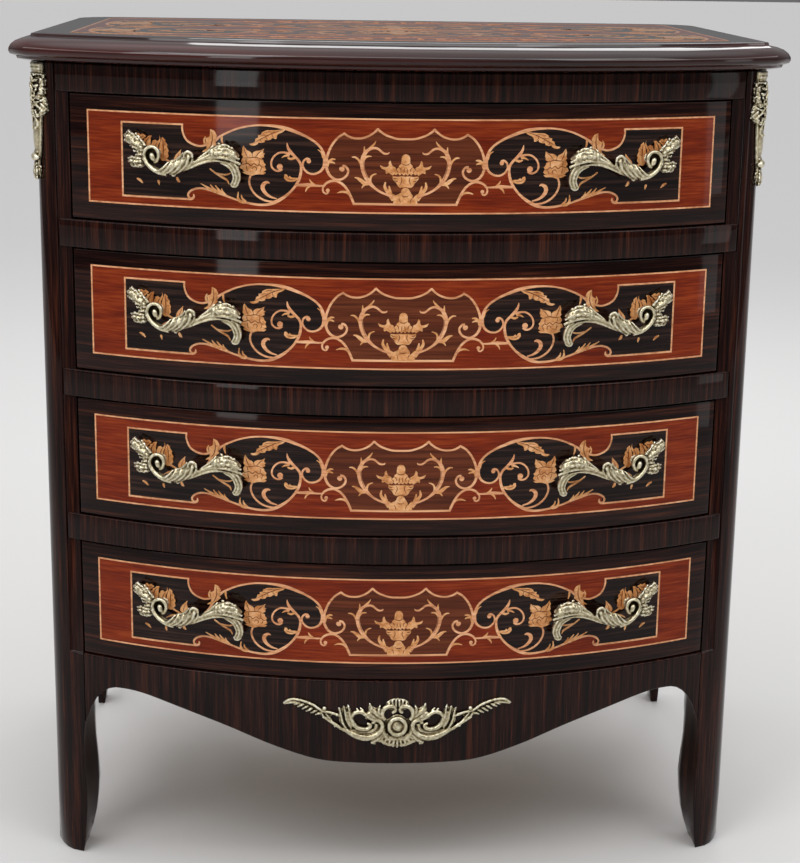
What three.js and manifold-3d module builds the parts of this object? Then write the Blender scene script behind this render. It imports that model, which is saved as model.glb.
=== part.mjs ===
// A bow-fronted commode chest of four drawers, in millimetres, +Z up.
// X runs across the front, Y from the front to the back, and the floor is z = 0.
// The origin is below the middle of the chest.

import * as THREE from 'three';
import { mergeVertices } from 'three/addons/utils/BufferGeometryUtils.js';
import Module from 'manifold-3d';

const wasm = await Module();
wasm.setup();

// Overall sizes
const HEIGHT = 980;
const TOP_WIDTH = 872;
const TOP_DEPTH = 631;
const TOP_THICKNESS = 31;
const FRONT_OVERHANG = 27;
const SIDE_OVERHANG = 25;
const BACK_OVERHANG = 6;
const TOP_CANT = 22;
const TOP_BACK_ROUNDING = 45;

// The curved front
const POST_WIDTH = 41;
const FRONT_SAGITTA = 92.2;

// Drawers and rails
const DRAWER_COUNT = 4;
const DRAWER_FRONT_HEIGHT = 137.5;
const DRAWER_GAP = 1.5;
const RAIL_HEIGHT = 32;
const FRIEZE_HEIGHT = 31.7;
const RAIL_DEPTH = 40;
const FRONT_RECESS = 2.5;
const FRONT_THICKNESS = 20;
const DRAWER_SIDE_THICKNESS = 12;
const DRAWER_SIDE_HEIGHT = 112;
const DRAWER_SIDE_CLEARANCE = 4;
const DRAWER_BOTTOM_THICKNESS = 5;
const DRAWER_BOTTOM_RISE = 10;
const GROOVE_DEPTH = 6;
const DRAWER_BACK_CLEARANCE = 25;

// Posts, sides, back and the boards between them
const CORNER_DEPTH = 45;
const POST_DEPTH = 60;
const STRIP_WIDTH = 17;
const STRIP_BEVEL = 1.5;
const BACK_POST_DEPTH = 45;
const BACK_POST_WIDTH = 30;
const BACK_LEG_WIDTH = 16;
const SIDE_THICKNESS = 18;
const BACK_THICKNESS = 8;
const BACK_REBATE = 10;
const BACK_RAIL_HEIGHT = 36;
const BACK_RAIL_THICKNESS = 18;
const BOARD_THICKNESS = 12;
const RUNNER_HEIGHT = 16;
const RUNNER_TREAD = 22;
const GUIDE_HEIGHT = 14;

// The apron below the drawers
const APRON_HEIGHT = 102;
const APRON_THICKNESS = 22;
const SIDE_APRON_HEIGHT = 84;

// Brass mounts and handles
const MOUNT_THICKNESS = 3.2;
const APRON_MOUNT_HALF_WIDTH = 132.5;
const APRON_MOUNT_HEIGHT = 62;
const APRON_MOUNT_MARGIN = 19.3;
const BOSS_RADIUS = 9.6;
const BOSS_DEPTH = 4.5;
const CORNER_MOUNT_LENGTH = 131;
const CORNER_MOUNT_WIDTH = 29;
const CORNER_MOUNT_THICKNESS = 5.5;
const CORNER_MOUNT_SHIFT = 5;
const CORNER_MOUNT_DROP = 1.5;
const BALL_RADIUS = 6;
const HANDLE_LENGTH = 139;
const HANDLE_HEIGHT = 56;
const HANDLE_INSET = 132;
const HANDLE_RAISE = 5;
const HANDLE_STANDOFF = 21;
const HANDLE_BAR_RADIUS = 3.6;
const HANDLE_POST_RADIUS = 3.4;
const HANDLE_KNOB_RADIUS = 4.6;

// Gaps between pieces, and the overrun of every cut
const FIT_GAP = 0.3;
const OVERRUN = 5;

// Counts of steps along curves
const FRONT_STEPS = 24;
const CORNER_STEPS = 4;
const OGEE_STEPS = 12;
const TUBE_SIDES = 5;

// Sizes worked out from the ones above
const TOP_HALF = TOP_WIDTH / 2;
const CASE_HALF = TOP_HALF - SIDE_OVERHANG;
const OPENING_HALF = CASE_HALF - POST_WIDTH;
const FRONT_RADIUS = (OPENING_HALF ** 2 + FRONT_SAGITTA ** 2) / (2 * FRONT_SAGITTA);
const FRONT_Y = -TOP_DEPTH / 2 + FRONT_OVERHANG;
const CHORD_Y = FRONT_Y + FRONT_SAGITTA;
const CENTRE_Y = FRONT_Y + FRONT_RADIUS;
const TOP_BACK_Y = TOP_DEPTH / 2;
const CASE_BACK_Y = TOP_BACK_Y - BACK_OVERHANG;
const CASE_TOP = HEIGHT - TOP_THICKNESS;
const OPENING_HEIGHT = DRAWER_FRONT_HEIGHT + 2 * DRAWER_GAP;
const MODULE_HEIGHT = OPENING_HEIGHT + RAIL_HEIGHT;
const BASE_Z = CASE_TOP - FRIEZE_HEIGHT - DRAWER_COUNT * MODULE_HEIGHT + RAIL_HEIGHT;
const POST_BACK_Y = CHORD_Y + POST_DEPTH;
const CORNER_Y = CHORD_Y + CORNER_DEPTH;
const BACK_POST_Y = CASE_BACK_Y - BACK_POST_DEPTH;
const SIDE_INNER = CASE_HALF - SIDE_THICKNESS;
const DRAWER_OUTER_RADIUS = FRONT_RADIUS - FRONT_RECESS;
const DRAWER_INNER_RADIUS = DRAWER_OUTER_RADIUS - FRONT_THICKNESS;
const DRAWER_SIDE_OUTER = OPENING_HALF - DRAWER_SIDE_CLEARANCE;
const DRAWER_SIDE_INNER = DRAWER_SIDE_OUTER - DRAWER_SIDE_THICKNESS;
const DRAWER_BACK_Y = BACK_POST_Y - DRAWER_BACK_CLEARANCE;
const HANDLE_OFFSET = OPENING_HALF - HANDLE_INSET;
const APRON_MOUNT_BOTTOM = BASE_Z - APRON_MOUNT_MARGIN - APRON_MOUNT_HEIGHT;

const DARK_WOOD = { color: 0x2a1410, roughness: 0.25, metalness: 0 };
const RED_WOOD = { color: 0x7a2c16, roughness: 0.25, metalness: 0 };
const PALE_WOOD = { color: 0xb98f5f, roughness: 0.6, metalness: 0 };
const BRASS = { color: 0xc9bd8a, roughness: 0.3, metalness: 1 };

const chest = new THREE.Group();

// Adds one named piece to the chest
function piece(name, geometry, look) {
  const mesh = new THREE.Mesh(geometry, new THREE.MeshStandardMaterial(look));
  mesh.name = name;
  chest.add(mesh);
  return mesh;
}

// y on an arc of the front, at a given x
function arcY(x, radius = FRONT_RADIUS) {
  return CENTRE_Y - Math.sqrt(radius * radius - x * x);
}

// Points along an arc of the front, from one x to another
function arcPoints(fromX, toX, radius, steps = FRONT_STEPS) {
  const start = Math.asin(fromX / radius);
  const end = Math.asin(toX / radius);
  const points = [];
  for (let i = 0; i <= steps; i += 1) {
    const angle = start + ((end - start) * i) / steps;
    const x = radius * Math.sin(angle);
    const y = CENTRE_Y - radius * Math.cos(angle);
    points.push(new THREE.Vector2(x, y));
  }
  return points;
}

// A plan outline raised from one height to another
function raised(points, bottom, top) {
  const geometry = new THREE.ExtrudeGeometry(new THREE.Shape(points), {
    depth: top - bottom,
    bevelEnabled: false,
  });
  return geometry.translate(0, 0, bottom);
}

// A rectangular block between two corners
function block(x0, x1, y0, y1, z0, z1) {
  const geometry = new THREE.BoxGeometry(x1 - x0, y1 - y0, z1 - z0);
  return geometry.translate((x0 + x1) / 2, (y0 + y1) / 2, (z0 + z1) / 2);
}

// Joins rings of points, bottom first, into one closed body with flat ends
function loft(rings) {
  const count = rings[0].length;
  const positions = rings.flat().flatMap((point) => [point.x, point.y, point.z]);
  const index = [];
  for (let level = 0; level < rings.length - 1; level += 1) {
    for (let i = 0; i < count; i += 1) {
      const a = level * count + i;
      const b = level * count + ((i + 1) % count);
      index.push(a, b, b + count, a, b + count, a + count);
    }
  }
  const last = (rings.length - 1) * count;
  const flat = (ring) => ring.map((point) => new THREE.Vector2(point.x, point.y));
  THREE.ShapeUtils.triangulateShape(flat(rings[0]), []).forEach(([a, b, c]) => {
    index.push(a, c, b);
  });
  THREE.ShapeUtils.triangulateShape(flat(rings.at(-1)), []).forEach(([a, b, c]) => {
    index.push(last + a, last + b, last + c);
  });
  const geometry = new THREE.BufferGeometry();
  geometry.setAttribute('position', new THREE.Float32BufferAttribute(positions, 3));
  geometry.setIndex(index);
  return geometry;
}

// The same body on the other side of the chest
function mirrored(geometry) {
  const copy = bare(geometry);
  copy.scale(-1, 1, 1);
  const index = copy.getIndex();
  for (let i = 0; i < index.count; i += 3) {
    const second = index.getX(i + 1);
    index.setX(i + 1, index.getX(i + 2));
    index.setX(i + 2, second);
  }
  return copy;
}

// A geometry with positions only and its shared vertices merged
function bare(geometry) {
  const copy = geometry.clone();
  copy.deleteAttribute('normal');
  copy.deleteAttribute('uv');
  return mergeVertices(copy);
}

// A closed mesh as a solid that can be cut and joined
function solid(geometry) {
  const merged = bare(geometry);
  return new wasm.Manifold(new wasm.Mesh({
    numProp: 3,
    vertProperties: new Float32Array(merged.getAttribute('position').array),
    triVerts: new Uint32Array(merged.getIndex().array),
  }));
}

// A solid as a mesh again
function meshed(body) {
  const mesh = body.getMesh();
  const geometry = new THREE.BufferGeometry();
  geometry.setAttribute('position', new THREE.BufferAttribute(mesh.vertProperties, 3));
  geometry.setIndex(new THREE.BufferAttribute(mesh.triVerts, 1));
  return geometry;
}

// One body out of several that overlap
function joined(bodies) {
  return bodies.reduce((whole, body) => whole.add(body));
}

// The top

// How much of the corner's cant is lost between the nose and the case's face
const CANT_NARROWING_SHARE = 0.7;

// Plan outline of the top, grown from the case's face by a share of the overhang
function topOutline(share) {
  const radius = FRONT_RADIUS + share * FRONT_OVERHANG;
  const half = CASE_HALF + share * SIDE_OVERHANG;
  const cant = TOP_CANT * (1 - (1 - share) * CANT_NARROWING_SHARE);
  const points = arcPoints(cant - half, half - cant, radius);
  const sideY = arcY(half - cant, radius) + cant;
  points.push(new THREE.Vector2(half, sideY));
  const rounding = Math.PI / 2 / CORNER_STEPS;
  for (let i = 0; i <= CORNER_STEPS; i += 1) {
    const x = half - TOP_BACK_ROUNDING * (1 - Math.cos(i * rounding));
    const y = TOP_BACK_Y - TOP_BACK_ROUNDING * (1 - Math.sin(i * rounding));
    points.push(new THREE.Vector2(x, y));
  }
  for (let i = CORNER_STEPS; i >= 0; i -= 1) {
    const x = -half + TOP_BACK_ROUNDING * (1 - Math.cos(i * rounding));
    const y = TOP_BACK_Y - TOP_BACK_ROUNDING * (1 - Math.sin(i * rounding));
    points.push(new THREE.Vector2(x, y));
  }
  points.push(new THREE.Vector2(-half, sideY));
  return points;
}

// Moulded edge from the underside up: share of the overhang, share of the thickness
const EDGE_SHARES = [
  [0.05, 0], [0.42, 0.05], [0.64, 0.1], [0.68, 0.19], [0.93, 0.27], [1, 0.37], [0.985, 0.47],
  [0.9, 0.6], [0.7, 0.73], [0.42, 0.82], [0.07, 0.87], [0.03, 0.975], [-0.1, 1],
];

function makeTop() {
  const rings = EDGE_SHARES.map(([outShare, upShare]) => {
    const z = CASE_TOP + upShare * TOP_THICKNESS;
    return topOutline(outShare).map((point) => new THREE.Vector3(point.x, point.y, z));
  });
  piece('top', loft(rings), DARK_WOOD);
}

// The front frame

// A rail runs between the posts and laps over the strip on the front of each post
function railOutline() {
  const end = OPENING_HALF - FIT_GAP;
  const lapEnd = OPENING_HALF + STRIP_WIDTH - STRIP_BEVEL - FIT_GAP;
  const lapRadius = FRONT_RADIUS - FRONT_RECESS + FIT_GAP;
  const backRadius = FRONT_RADIUS - RAIL_DEPTH;
  return [
    ...arcPoints(-lapEnd, lapEnd, FRONT_RADIUS),
    ...arcPoints(lapEnd, end, lapRadius, 1),
    ...arcPoints(end, -end, backRadius),
    ...arcPoints(-end, -lapEnd, lapRadius, 1),
  ];
}

function openingBottom(number) {
  return BASE_Z + (number - 1) * MODULE_HEIGHT;
}

function makeRails() {
  for (let number = 1; number < DRAWER_COUNT; number += 1) {
    const bottom = openingBottom(number) + OPENING_HEIGHT;
    piece(`drawer_rail_${number}`, raised(railOutline(), bottom, bottom + RAIL_HEIGHT), DARK_WOOD);
  }
  const friezeBottom = CASE_TOP - FRIEZE_HEIGHT;
  piece('frieze_rail', raised(railOutline(), friezeBottom, CASE_TOP - FIT_GAP), DARK_WOOD);
}

// Right half of the apron's lower edge: share of half the opening, share of its height
const OGEE_SHARES = [
  [0, 0], [0.13, 0.005], [0.25, 0.035], [0.385, 0.17], [0.54, 0.37], [0.7, 0.54],
  [0.8, 0.63], [0.87, 0.65], [0.915, 0.62], [0.955, 0.49], [0.983, 0.3], [1, 0.12],
];

// The lower edge as a smooth curve, as points across the whole width
function ogee(half, bottom, height, steps) {
  const right = OGEE_SHARES.map(([x, z]) => new THREE.Vector2(x * half, bottom + z * height));
  const left = right.slice(1).reverse().map((point) => new THREE.Vector2(-point.x, point.y));
  return new THREE.SplineCurve([...left, ...right]).getPoints(steps);
}

function makeApron() {
  const end = OPENING_HALF - FIT_GAP;
  const bottom = BASE_Z - APRON_HEIGHT;
  const outline = [
    ...arcPoints(-end, end, FRONT_RADIUS),
    ...arcPoints(end, -end, FRONT_RADIUS - APRON_THICKNESS),
  ];
  const band = solid(raised(outline, bottom, BASE_Z));
  const edge = ogee(OPENING_HALF, bottom, APRON_HEIGHT, 4 * OGEE_STEPS);
  const waste = [
    ...edge,
    new THREE.Vector2(OPENING_HALF + OVERRUN, edge.at(-1).y),
    new THREE.Vector2(OPENING_HALF + OVERRUN, bottom - OVERRUN),
    new THREE.Vector2(-OPENING_HALF - OVERRUN, bottom - OVERRUN),
    new THREE.Vector2(-OPENING_HALF - OVERRUN, edge[0].y),
  ];
  const cutter = raised(waste, 0, TOP_DEPTH);
  cutter.rotateX(Math.PI / 2);
  cutter.translate(0, TOP_DEPTH / 2, 0);
  piece('apron', meshed(band.subtract(solid(cutter))), DARK_WOOD);
}

// The front posts with their legs

// Levels of the leg from the floor up, as shares of the height below the drawers:
// height, the inner edge, the strip's outer edge, the bulge of the column across and back,
// as shares of the post's width, then the inner corner behind as a share of its inset
const LEG_SHARES = [
  [0, 0.158, 0.26, 0.72, 0.22, -0.7],
  [0.035, 0.12, 0.26, 0.76, 0.22, -0.3],
  [0.075, 0.085, 0.28, 0.82, 0.24, 0.2],
  [0.14, 0.054, 0.32, 0.88, 0.28, 0.75],
  [0.22, 0.01, 0.36, 0.93, 0.33, 1.1],
  [0.305, 0, 0.39, 0.95, 0.36, 1.3],
  [0.37, 0.03, 0.41, 0.96, 0.37, 1.25],
  [0.445, 0.076, 0.415, 0.96, 0.38, 1.15],
  [0.52, 0.083, 0.415, 0.96, 0.38, 0.95],
  [0.605, 0.048, 0.415, 0.96, 0.38, 0.85],
  [0.66, 0, 0.415, 0.96, 0.38, 0.85],
  [0.8, 0, 0.415, 0.96, 0.38, 0.7],
  [0.994, 0, 0.415, 0.96, 0.38, 0],
];
const LEG_INSET = 7;
const INNER_CORNER_SHARE = 2 / 3;
const INNER_STEP_SHARE = 0.45;
const REAR_SLANT_SHARE = 2;
const BACK_LEG_BLEND_SHARES = [0.4, 0.9];

// The plan outline of a right-hand post at one level, with its face moved out by grow
function postSection(level, recess, grow = 0) {
  const [, innerShare, stripShare, bulgeShare, bulgeBackShare, cornerShare] = level;
  const inner = OPENING_HALF + innerShare * POST_WIDTH;
  const strip = OPENING_HALF + stripShare * POST_WIDTH;
  const corner = OPENING_HALF - cornerShare * LEG_INSET;
  const rear = POST_BACK_Y - REAR_SLANT_SHARE * innerShare * POST_WIDTH;
  const radius = FRONT_RADIUS + grow;
  const stripIn = Math.max(inner + STRIP_BEVEL, strip - STRIP_BEVEL);
  const column = new THREE.QuadraticBezierCurve(
    new THREE.Vector2(strip, arcY(strip, radius)),
    new THREE.Vector2(
      OPENING_HALF + bulgeShare * POST_WIDTH + grow,
      CHORD_Y + bulgeBackShare * CORNER_DEPTH - grow,
    ),
    new THREE.Vector2(CASE_HALF + grow, CORNER_Y),
  ).getPoints(CORNER_STEPS);
  const innerStep = Math.max(0, innerShare) * POST_WIDTH * (1 - INNER_STEP_SHARE);
  const nearStep = cornerShare < 0 ? inner : OPENING_HALF + innerStep;
  return [
    new THREE.Vector2(inner, arcY(inner, radius - recess)),
    new THREE.Vector2(stripIn, arcY(stripIn, radius - recess)),
    ...column,
    new THREE.Vector2(CASE_HALF + grow, rear),
    new THREE.Vector2(corner, rear),
    new THREE.Vector2(corner, CHORD_Y + INNER_CORNER_SHARE * POST_DEPTH),
    new THREE.Vector2(nearStep, CHORD_Y + INNER_STEP_SHARE * POST_DEPTH),
  ];
}

function makeFrontPosts() {
  const rings = LEG_SHARES.map((level) => {
    const z = level[0] * BASE_Z;
    return postSection(level, 0).map((point) => new THREE.Vector3(point.x, point.y, z));
  });
  [BASE_Z, CASE_TOP - FIT_GAP].forEach((z) => {
    const outline = postSection(LEG_SHARES.at(-1), FRONT_RECESS);
    rings.push(outline.map((point) => new THREE.Vector3(point.x, point.y, z)));
  });
  const post = loft(rings);
  piece('front_right_post', post, DARK_WOOD);
  piece('front_left_post', mirrored(post), DARK_WOOD);
}

// The back posts: square above, shaped below like the front legs, and rebated for the back

function makeBackPosts() {
  const shape = (level) => {
    const [heightShare, innerShare] = level;
    const taper = innerShare * POST_WIDTH;
    const blend = THREE.MathUtils.smoothstep(heightShare, ...BACK_LEG_BLEND_SHARES);
    const width = THREE.MathUtils.lerp(BACK_LEG_WIDTH - taper, BACK_POST_WIDTH, blend);
    const front = BACK_POST_Y + REAR_SLANT_SHARE * taper;
    return [
      [CASE_HALF - width, front], [CASE_HALF, front],
      [CASE_HALF, CASE_BACK_Y], [CASE_HALF - width, CASE_BACK_Y],
    ].map(([x, y]) => new THREE.Vector3(x, y, heightShare * BASE_Z));
  };
  const rings = LEG_SHARES.map(shape);
  rings.push(rings.at(-1).map((point) => new THREE.Vector3(point.x, point.y, CASE_TOP - FIT_GAP)));
  const rebate = block(
    CASE_HALF - BACK_POST_WIDTH - OVERRUN, CASE_HALF - BACK_POST_WIDTH + BACK_REBATE,
    CASE_BACK_Y - BACK_THICKNESS - FIT_GAP, CASE_BACK_Y + OVERRUN,
    BASE_Z, CASE_TOP + OVERRUN,
  );
  const post = meshed(solid(loft(rings)).subtract(solid(rebate)));
  piece('back_right_post', post, DARK_WOOD);
  piece('back_left_post', mirrored(post), DARK_WOOD);
}

// The side panels, each with its own apron cut along the lower edge

function makeSides() {
  const front = POST_BACK_Y + FIT_GAP;
  const back = BACK_POST_Y - FIT_GAP;
  const middle = (front + back) / 2;
  const half = (back - front) / 2;
  const bottom = BASE_Z - SIDE_APRON_HEIGHT;
  const edge = ogee(half, bottom, SIDE_APRON_HEIGHT, 3 * OGEE_STEPS);
  const outline = [
    ...edge,
    new THREE.Vector2(half, CASE_TOP - FIT_GAP),
    new THREE.Vector2(-half, CASE_TOP - FIT_GAP),
  ];
  const side = raised(outline, 0, SIDE_THICKNESS);
  side.rotateX(Math.PI / 2);
  side.rotateZ(Math.PI / 2);
  side.translate(SIDE_INNER, middle, 0);
  piece('right_side', side, DARK_WOOD);
  piece('left_side', mirrored(side), DARK_WOOD);
}

// The back panel in its rebates, and the two rails in front of it

function makeBack() {
  const half = CASE_HALF - BACK_POST_WIDTH + BACK_REBATE - FIT_GAP;
  const panelFront = CASE_BACK_Y - BACK_THICKNESS;
  const top = CASE_TOP - FIT_GAP;
  const panel = block(-half, half, panelFront, CASE_BACK_Y, BASE_Z + FIT_GAP, top);
  piece('back_panel', panel, PALE_WOOD);
  const railHalf = CASE_HALF - BACK_POST_WIDTH - FIT_GAP;
  const railBack = panelFront - FIT_GAP;
  const railFront = railBack - BACK_RAIL_THICKNESS;
  const lowBottom = BASE_Z - RUNNER_HEIGHT;
  piece(
    'back_top_rail',
    block(-railHalf, railHalf, railFront, railBack, top - BACK_RAIL_HEIGHT, top),
    PALE_WOOD,
  );
  piece(
    'back_bottom_rail',
    block(-railHalf, railHalf, railFront, railBack, lowBottom, lowBottom + BACK_RAIL_HEIGHT),
    PALE_WOOD,
  );
}

// The board under the lowest drawer

function makeBottomBoard() {
  const half = SIDE_INNER - FIT_GAP;
  const top = BASE_Z - RUNNER_HEIGHT - FIT_GAP;
  const frontHalf = OPENING_HALF - LEG_INSET - FIT_GAP;
  const front = POST_BACK_Y + FIT_GAP;
  const back = BACK_POST_Y - FIT_GAP;
  const railFront = CASE_BACK_Y - BACK_THICKNESS - FIT_GAP;
  const backHalf = CASE_HALF - BACK_POST_WIDTH - FIT_GAP;
  const outline = [
    ...arcPoints(-frontHalf, frontHalf, FRONT_RADIUS - APRON_THICKNESS - FIT_GAP),
    new THREE.Vector2(frontHalf, front),
    new THREE.Vector2(half, front),
    new THREE.Vector2(half, back),
    new THREE.Vector2(backHalf, back),
    new THREE.Vector2(backHalf, railFront),
    new THREE.Vector2(-backHalf, railFront),
    new THREE.Vector2(-backHalf, back),
    new THREE.Vector2(-half, back),
    new THREE.Vector2(-half, front),
    new THREE.Vector2(-frontHalf, front),
  ];
  piece('bottom_board', raised(outline, top - BOARD_THICKNESS, top), PALE_WOOD);
}

// Runners on the sides: a tread under the drawer's side and a guide beside it

function makeRunners() {
  for (let number = 1; number <= DRAWER_COUNT; number += 1) {
    const top = openingBottom(number);
    const front = POST_BACK_Y + FIT_GAP;
    const back = BACK_POST_Y - FIT_GAP;
    const inner = DRAWER_SIDE_OUTER - RUNNER_TREAD;
    const outer = SIDE_INNER - FIT_GAP;
    const guide = DRAWER_SIDE_OUTER + 2 * FIT_GAP;
    const section = [
      [inner, top - RUNNER_HEIGHT], [outer, top - RUNNER_HEIGHT], [outer, top + GUIDE_HEIGHT],
      [guide, top + GUIDE_HEIGHT], [guide, top], [inner, top],
    ].map(([x, z]) => new THREE.Vector2(x, z));
    const runner = raised(section, 0, back - front);
    runner.rotateX(Math.PI / 2);
    runner.translate(0, back, 0);
    piece(`runner_right_${number}`, runner, PALE_WOOD);
    piece(`runner_left_${number}`, mirrored(runner), PALE_WOOD);
  }
}

// A drawer: a curved front, two grooved sides, a back and a bottom board in the grooves

function makeDrawer(number) {
  const name = `drawer_${number}`;
  const frontBottom = openingBottom(number) + DRAWER_GAP;
  const sideBottom = openingBottom(number) + FIT_GAP;
  const sideTop = sideBottom + DRAWER_SIDE_HEIGHT;
  const bottomZ = sideBottom + DRAWER_BOTTOM_RISE;
  const bottomTop = bottomZ + DRAWER_BOTTOM_THICKNESS;
  const end = OPENING_HALF - DRAWER_GAP;
  const nearRadius = DRAWER_INNER_RADIUS - FIT_GAP;

  const front = [
    ...arcPoints(-end, end, DRAWER_OUTER_RADIUS),
    ...arcPoints(end, -end, DRAWER_INNER_RADIUS),
  ];
  piece(`${name}_front`, raised(front, frontBottom, frontBottom + DRAWER_FRONT_HEIGHT), RED_WOOD);

  const sidePlan = [
    ...arcPoints(DRAWER_SIDE_INNER, DRAWER_SIDE_OUTER, nearRadius, 1),
    new THREE.Vector2(DRAWER_SIDE_OUTER, DRAWER_BACK_Y),
    new THREE.Vector2(DRAWER_SIDE_INNER, DRAWER_BACK_Y),
  ];
  const groove = block(
    DRAWER_SIDE_INNER - OVERRUN, DRAWER_SIDE_INNER + GROOVE_DEPTH,
    FRONT_Y, DRAWER_BACK_Y + OVERRUN, bottomZ - FIT_GAP, bottomTop + FIT_GAP,
  );
  const side = meshed(solid(raised(sidePlan, sideBottom, sideTop)).subtract(solid(groove)));
  piece(`${name}_side_right`, side, PALE_WOOD);
  piece(`${name}_side_left`, mirrored(side), PALE_WOOD);

  const backHalf = DRAWER_SIDE_INNER - FIT_GAP;
  const backFront = DRAWER_BACK_Y - DRAWER_SIDE_THICKNESS;
  const back = block(
    -backHalf, backHalf, backFront, DRAWER_BACK_Y, bottomTop + FIT_GAP, sideTop,
  );
  piece(`${name}_back`, back, PALE_WOOD);

  const bottomHalf = DRAWER_SIDE_INNER + GROOVE_DEPTH - FIT_GAP;
  const bottom = [
    ...arcPoints(-bottomHalf, bottomHalf, nearRadius),
    new THREE.Vector2(bottomHalf, DRAWER_BACK_Y),
    new THREE.Vector2(-bottomHalf, DRAWER_BACK_Y),
  ];
  piece(`${name}_bottom`, raised(bottom, bottomZ, bottomTop), PALE_WOOD);
}

// The cast handles

// A closed tube along a curve, with a radius at each of its points and a flattened section
function taperedTube(places, steps, flatness = 1) {
  const path = new THREE.CatmullRomCurve3(places.map((place) => place.at));
  const radii = places.map((place) => place.radius);
  const frames = path.computeFrenetFrames(steps, false);
  const rings = [];
  for (let i = 0; i <= steps; i += 1) {
    const along = i / steps;
    const step = Math.min(Math.floor(along * (radii.length - 1)), radii.length - 2);
    const rest = along * (radii.length - 1) - step;
    const radius = THREE.MathUtils.lerp(radii[step], radii[step + 1], rest);
    const centre = path.getPoint(along);
    const outward = new THREE.Vector3(0, -1, 0);
    const tangent = frames.tangents[i];
    const across = new THREE.Vector3().crossVectors(tangent, outward).normalize();
    const out = new THREE.Vector3().crossVectors(tangent, across).normalize();
    const ring = [];
    for (let side = 0; side < TUBE_SIDES; side += 1) {
      const angle = (2 * Math.PI * side) / TUBE_SIDES;
      const point = centre.clone();
      point.addScaledVector(across, radius * Math.cos(angle));
      point.addScaledVector(out, flatness * radius * Math.sin(angle));
      ring.push(point);
    }
    rings.push(ring);
  }
  return closedTube(rings, path.getPoint(0), path.getPoint(1));
}

// Rings joined into a tube whose ends close on a point
function closedTube(rings, startPoint, endPoint) {
  const count = rings[0].length;
  const points = [...rings.flat(), startPoint, endPoint];
  const index = [];
  for (let level = 0; level < rings.length - 1; level += 1) {
    for (let i = 0; i < count; i += 1) {
      const a = level * count + i;
      const b = level * count + ((i + 1) % count);
      index.push(a, b, b + count, a, b + count, a + count);
    }
  }
  const first = rings.length * count;
  const last = (rings.length - 1) * count;
  for (let i = 0; i < count; i += 1) {
    const next = (i + 1) % count;
    index.push(first, next, i, first + 1, last + i, last + next);
  }
  const geometry = new THREE.BufferGeometry();
  const positions = points.flatMap((point) => [point.x, point.y, point.z]);
  geometry.setAttribute('position', new THREE.Float32BufferAttribute(positions, 3));
  geometry.setIndex(index);
  return geometry;
}

// The parts of a handle, as shares of its length, height and standoff, then of the bar's radius:
// across from the outer end, up, out from the drawer, radius
const BAR_SHARES = [
  [-0.19, 0.02, 0.55, 0.5], [-0.18, 0.15, 0.6, 0.7], [-0.245, 0.2, 0.62, 0.8],
  [-0.305, 0.1, 0.66, 0.85], [-0.3, -0.08, 0.75, 0.9], [-0.235, -0.21, 0.9, 1],
  [-0.12, -0.27, 1, 1.25], [-0.01, -0.2, 1, 1.25], [0.12, -0.05, 0.95, 0.85],
  [0.25, 0.08, 0.85, 0.95], [0.36, 0.13, 0.7, 1.5],
];
const UPPER_LEAF_SHARES = [
  [-0.3, 0.12, 0.62, 0.6], [-0.36, 0.22, 0.5, 1.05], [-0.43, 0.33, 0.36, 1.2], [-0.485, 0.43, 0.22, 0.6],
];
const LOWER_LEAF_SHARES = [
  [-0.31, 0.05, 0.64, 0.6], [-0.345, -0.08, 0.5, 1.1], [-0.39, -0.14, 0.4, 1.35], [-0.435, -0.09, 0.28, 0.8],
];
const TWIST_LEAF_SHARES = [
  [-0.12, -0.25, 1, 0.9], [-0.04, -0.1, 1.1, 1.4], [0.04, 0.01, 1.1, 1.3], [0.08, 0.05, 1.05, 1],
];
const CLUSTER_SHARES = [
  [0.24, 0.15, 0.75, 0.7], [0.31, 0.14, 0.7, 2], [0.39, 0.1, 0.62, 2.35], [0.46, 0.03, 0.55, 1.3],
];
const TAIL_SHARES = [
  [0.4, -0.02, 0.6, 1.1], [0.455, -0.17, 0.55, 1.05], [0.475, -0.34, 0.5, 0.95], [0.435, -0.48, 0.45, 0.9],
];
const LINK_SHARES = [
  [-0.24, 0.08, 0.55, 0.95], [-0.245, -0.03, 0.64, 0.6], [-0.25, -0.15, 0.8, 0.6],
];
const POST_SHARES = [[-0.24, 0.07], [0.37, 0.08]];
const POST_REACH_SHARE = 0.66;
const BAR_STEPS = 16;
const LEAF_STEPS = 3;
const LINK_STEPS = 2;
const LEAF_FLATNESS_SHARE = 0.6;
const TWIST_FLATNESS_SHARE = 0.7;
const KNOB_PLACE_SHARE = [0.085, 0.06, 1.1];

function handlePoint([across, up, out]) {
  return new THREE.Vector3(
    across * HANDLE_LENGTH,
    -out * HANDLE_STANDOFF,
    up * HANDLE_HEIGHT,
  );
}

function handleTube(shares, steps, flatness) {
  const places = shares.map((share) => ({
    at: handlePoint(share),
    radius: share[3] * HANDLE_BAR_RADIUS,
  }));
  return solid(taperedTube(places, steps, flatness));
}

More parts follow.
